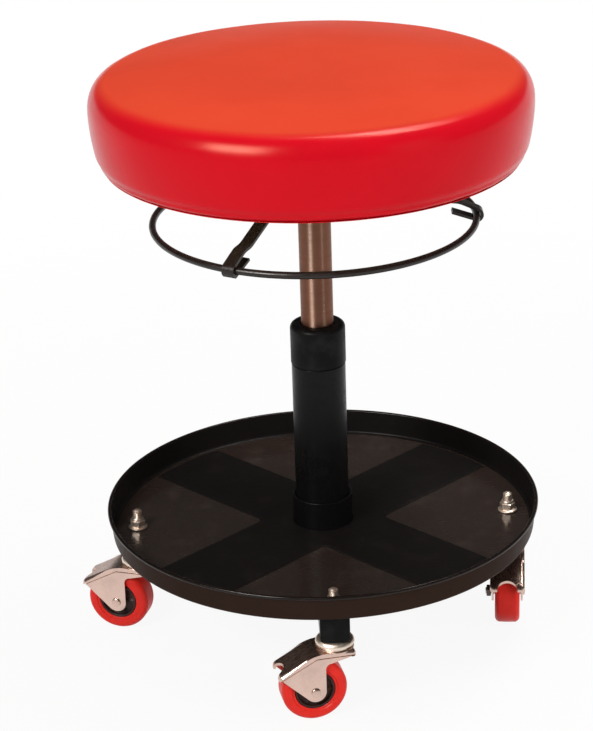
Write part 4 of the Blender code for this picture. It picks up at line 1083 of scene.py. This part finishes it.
# Stage
def build_floor():
    mesh = prism(arc((0, 0), 9.0, 0, 355, 71), -0.02, 0.0)
    floor = placed("floor", mesh)
    made = Finish("pale_floor")
    mesh.materials.append(made.material)
    colour = made.mix(made.noise(3.0, 3.0), (0.84, 0.84, 0.83), (0.80, 0.80, 0.80))
    made.set(Base_Color=colour, Roughness=0.9, Specular_IOR_Level=0.1)
    glow = made.node("ShaderNodeEmission", {"Color": (1, 1, 1, 1), "Strength": 1.0}).outputs[0]
    far = made.between(made.vector("LENGTH", made.place), 0.35, 1.3, 0.92, 1.0)
    share = made.maths("MULTIPLY", made.seeing(), far)
    both = made.node("ShaderNodeMixShader", {0: share, 1: made.shader.outputs[0], 2: glow})
    made.feed(made.tree.nodes["Material Output"].inputs["Surface"], both.outputs[0])


def build_world():
    """White to the camera, a dark ceiling to mirrors and an even grey to other rays."""
    world = bpy.data.worlds.new("studio")
    bpy.context.scene.world = world
    world.use_nodes = True
    made = Nodes(world.node_tree)
    up = made.upright(made.node("ShaderNodeTexCoord").outputs["Generated"])
    low, high = sin(radians(1)), sin(radians(5))
    ceiling = made.between(up, low, high, 1.0, 0.05)
    shown = made.node("ShaderNodeMix", {0: made.seeing(), 2: 0.46, 3: ceiling}).outputs[0]
    camera = made.node("ShaderNodeLightPath").outputs["Is Camera Ray"]
    sky = made.tree.nodes["Background"].inputs
    sky["Color"].default_value = (1.0, 0.99, 0.98, 1.0)
    made.feed(sky["Strength"], made.maths("MAXIMUM", shown, camera))


def add_lamp(name, place, aim, size, power, colour=(1.0, 0.97, 0.94)):
    lamp = bpy.data.lights.new(name, "AREA")
    lamp.shape = "RECTANGLE"
    lamp.size, lamp.size_y = size
    lamp.energy = power
    lamp.color = colour
    obj = placed(name, lamp)
    obj.location = place
    obj.visible_camera = False
    obj.rotation_euler = (Vector(aim) - Vector(place)).to_track_quat("-Z", "Y").to_euler()
    return obj


def add_gloss(*lamp):
    """A lamp that gives highlights only."""
    obj = add_lamp(*lamp)
    obj.visible_diffuse = False
    return obj


def light_only(name, piece, lamps, state="INCLUDE"):
    """Keeps these lamps for one piece, or away from it."""
    group = bpy.data.collections.new(name)
    group.objects.link(bpy.data.objects[piece])
    group.collection_objects[0].light_linking.link_state = state
    for lamp in lamps:
        lamp.light_linking.receiver_collection = group


def build_lights():
    seat, rod = (0, -0.05, 0.48), (0, 0, 0.35)
    front, above = (-1.22, -1.41, 1.62), (0.46, 0.42, 1.92)
    add_lamp("key", (-1.25, -1.45, 1.60), seat, (0.95, 0.36), 23.5)
    add_lamp("overhead", (0.48, 0.38, 2.00), seat, (0.75, 0.30), 14.0)
    fill = add_lamp("fill", (1.7, -1.3, 0.9), (0, 0, 0.2), (0.9, 1.2), 13.5)
    fill.visible_glossy = False
    sheen = add_gloss("key_sheen", front, seat, (0.95, 1.00), 46.0)
    add_gloss("overhead_sheen", above, seat, (0.90, 0.50), 12.0)
    shine = [
        add_gloss("key_shine", front, seat, (0.95, 1.00), 36.0),
        add_gloss("overhead_shine", above, seat, (0.90, 0.85), 16.0),
    ]
    light_only("cushion", "seat_cushion_padded", shine)
    cool = (0.49, 0.81, 1.0)
    strips = [
        add_gloss("strip_left", (-0.66, -1.00, 0.30), rod, (0.38, 0.56), 12.0, cool),
        add_gloss("strip_right", (0.95, -0.85, 0.30), rod, (0.17, 0.56), 2.0, cool),
    ]
    light_only("polished", "pressure_tube_polished", strips)
    light_only("unpolished", "pressure_tube_polished", [sheen], "EXCLUDE")


def build_camera():
    place, yaw, pitch, roll = (-0.0102, -1.9164, 1.0519), -0.0047, 0.3974, -0.0335
    focal_pixels, tall_pixels, sensor = 2393.9, 731, 36.0
    flat = cos(pitch)
    ahead = Vector((sin(yaw) * flat, cos(yaw) * flat, -sin(pitch)))
    level = Vector((cos(yaw), -sin(yaw), 0))
    rise = level.cross(ahead)
    right = cos(roll) * level + sin(roll) * rise
    up = -sin(roll) * level + cos(roll) * rise
    data = bpy.data.cameras.new("camera")
    data.sensor_width = sensor
    data.lens = focal_pixels * sensor / tall_pixels
    data.clip_end = 60.0
    turn = Matrix((right, up, -ahead)).transposed().to_4x4()
    bpy.context.scene.camera = placed("camera", data, Matrix.Translation(place) @ turn)


build_camera()
build_world()
build_floor()
build_cushion()
build_staples()
build_under_seat()
build_column()
build_ring_lever()
build_tray()
build_arms()
build_casters()
dress_plain_nodes()
build_lights()

bpy.context.scene.view_settings.view_transform = "Standard"
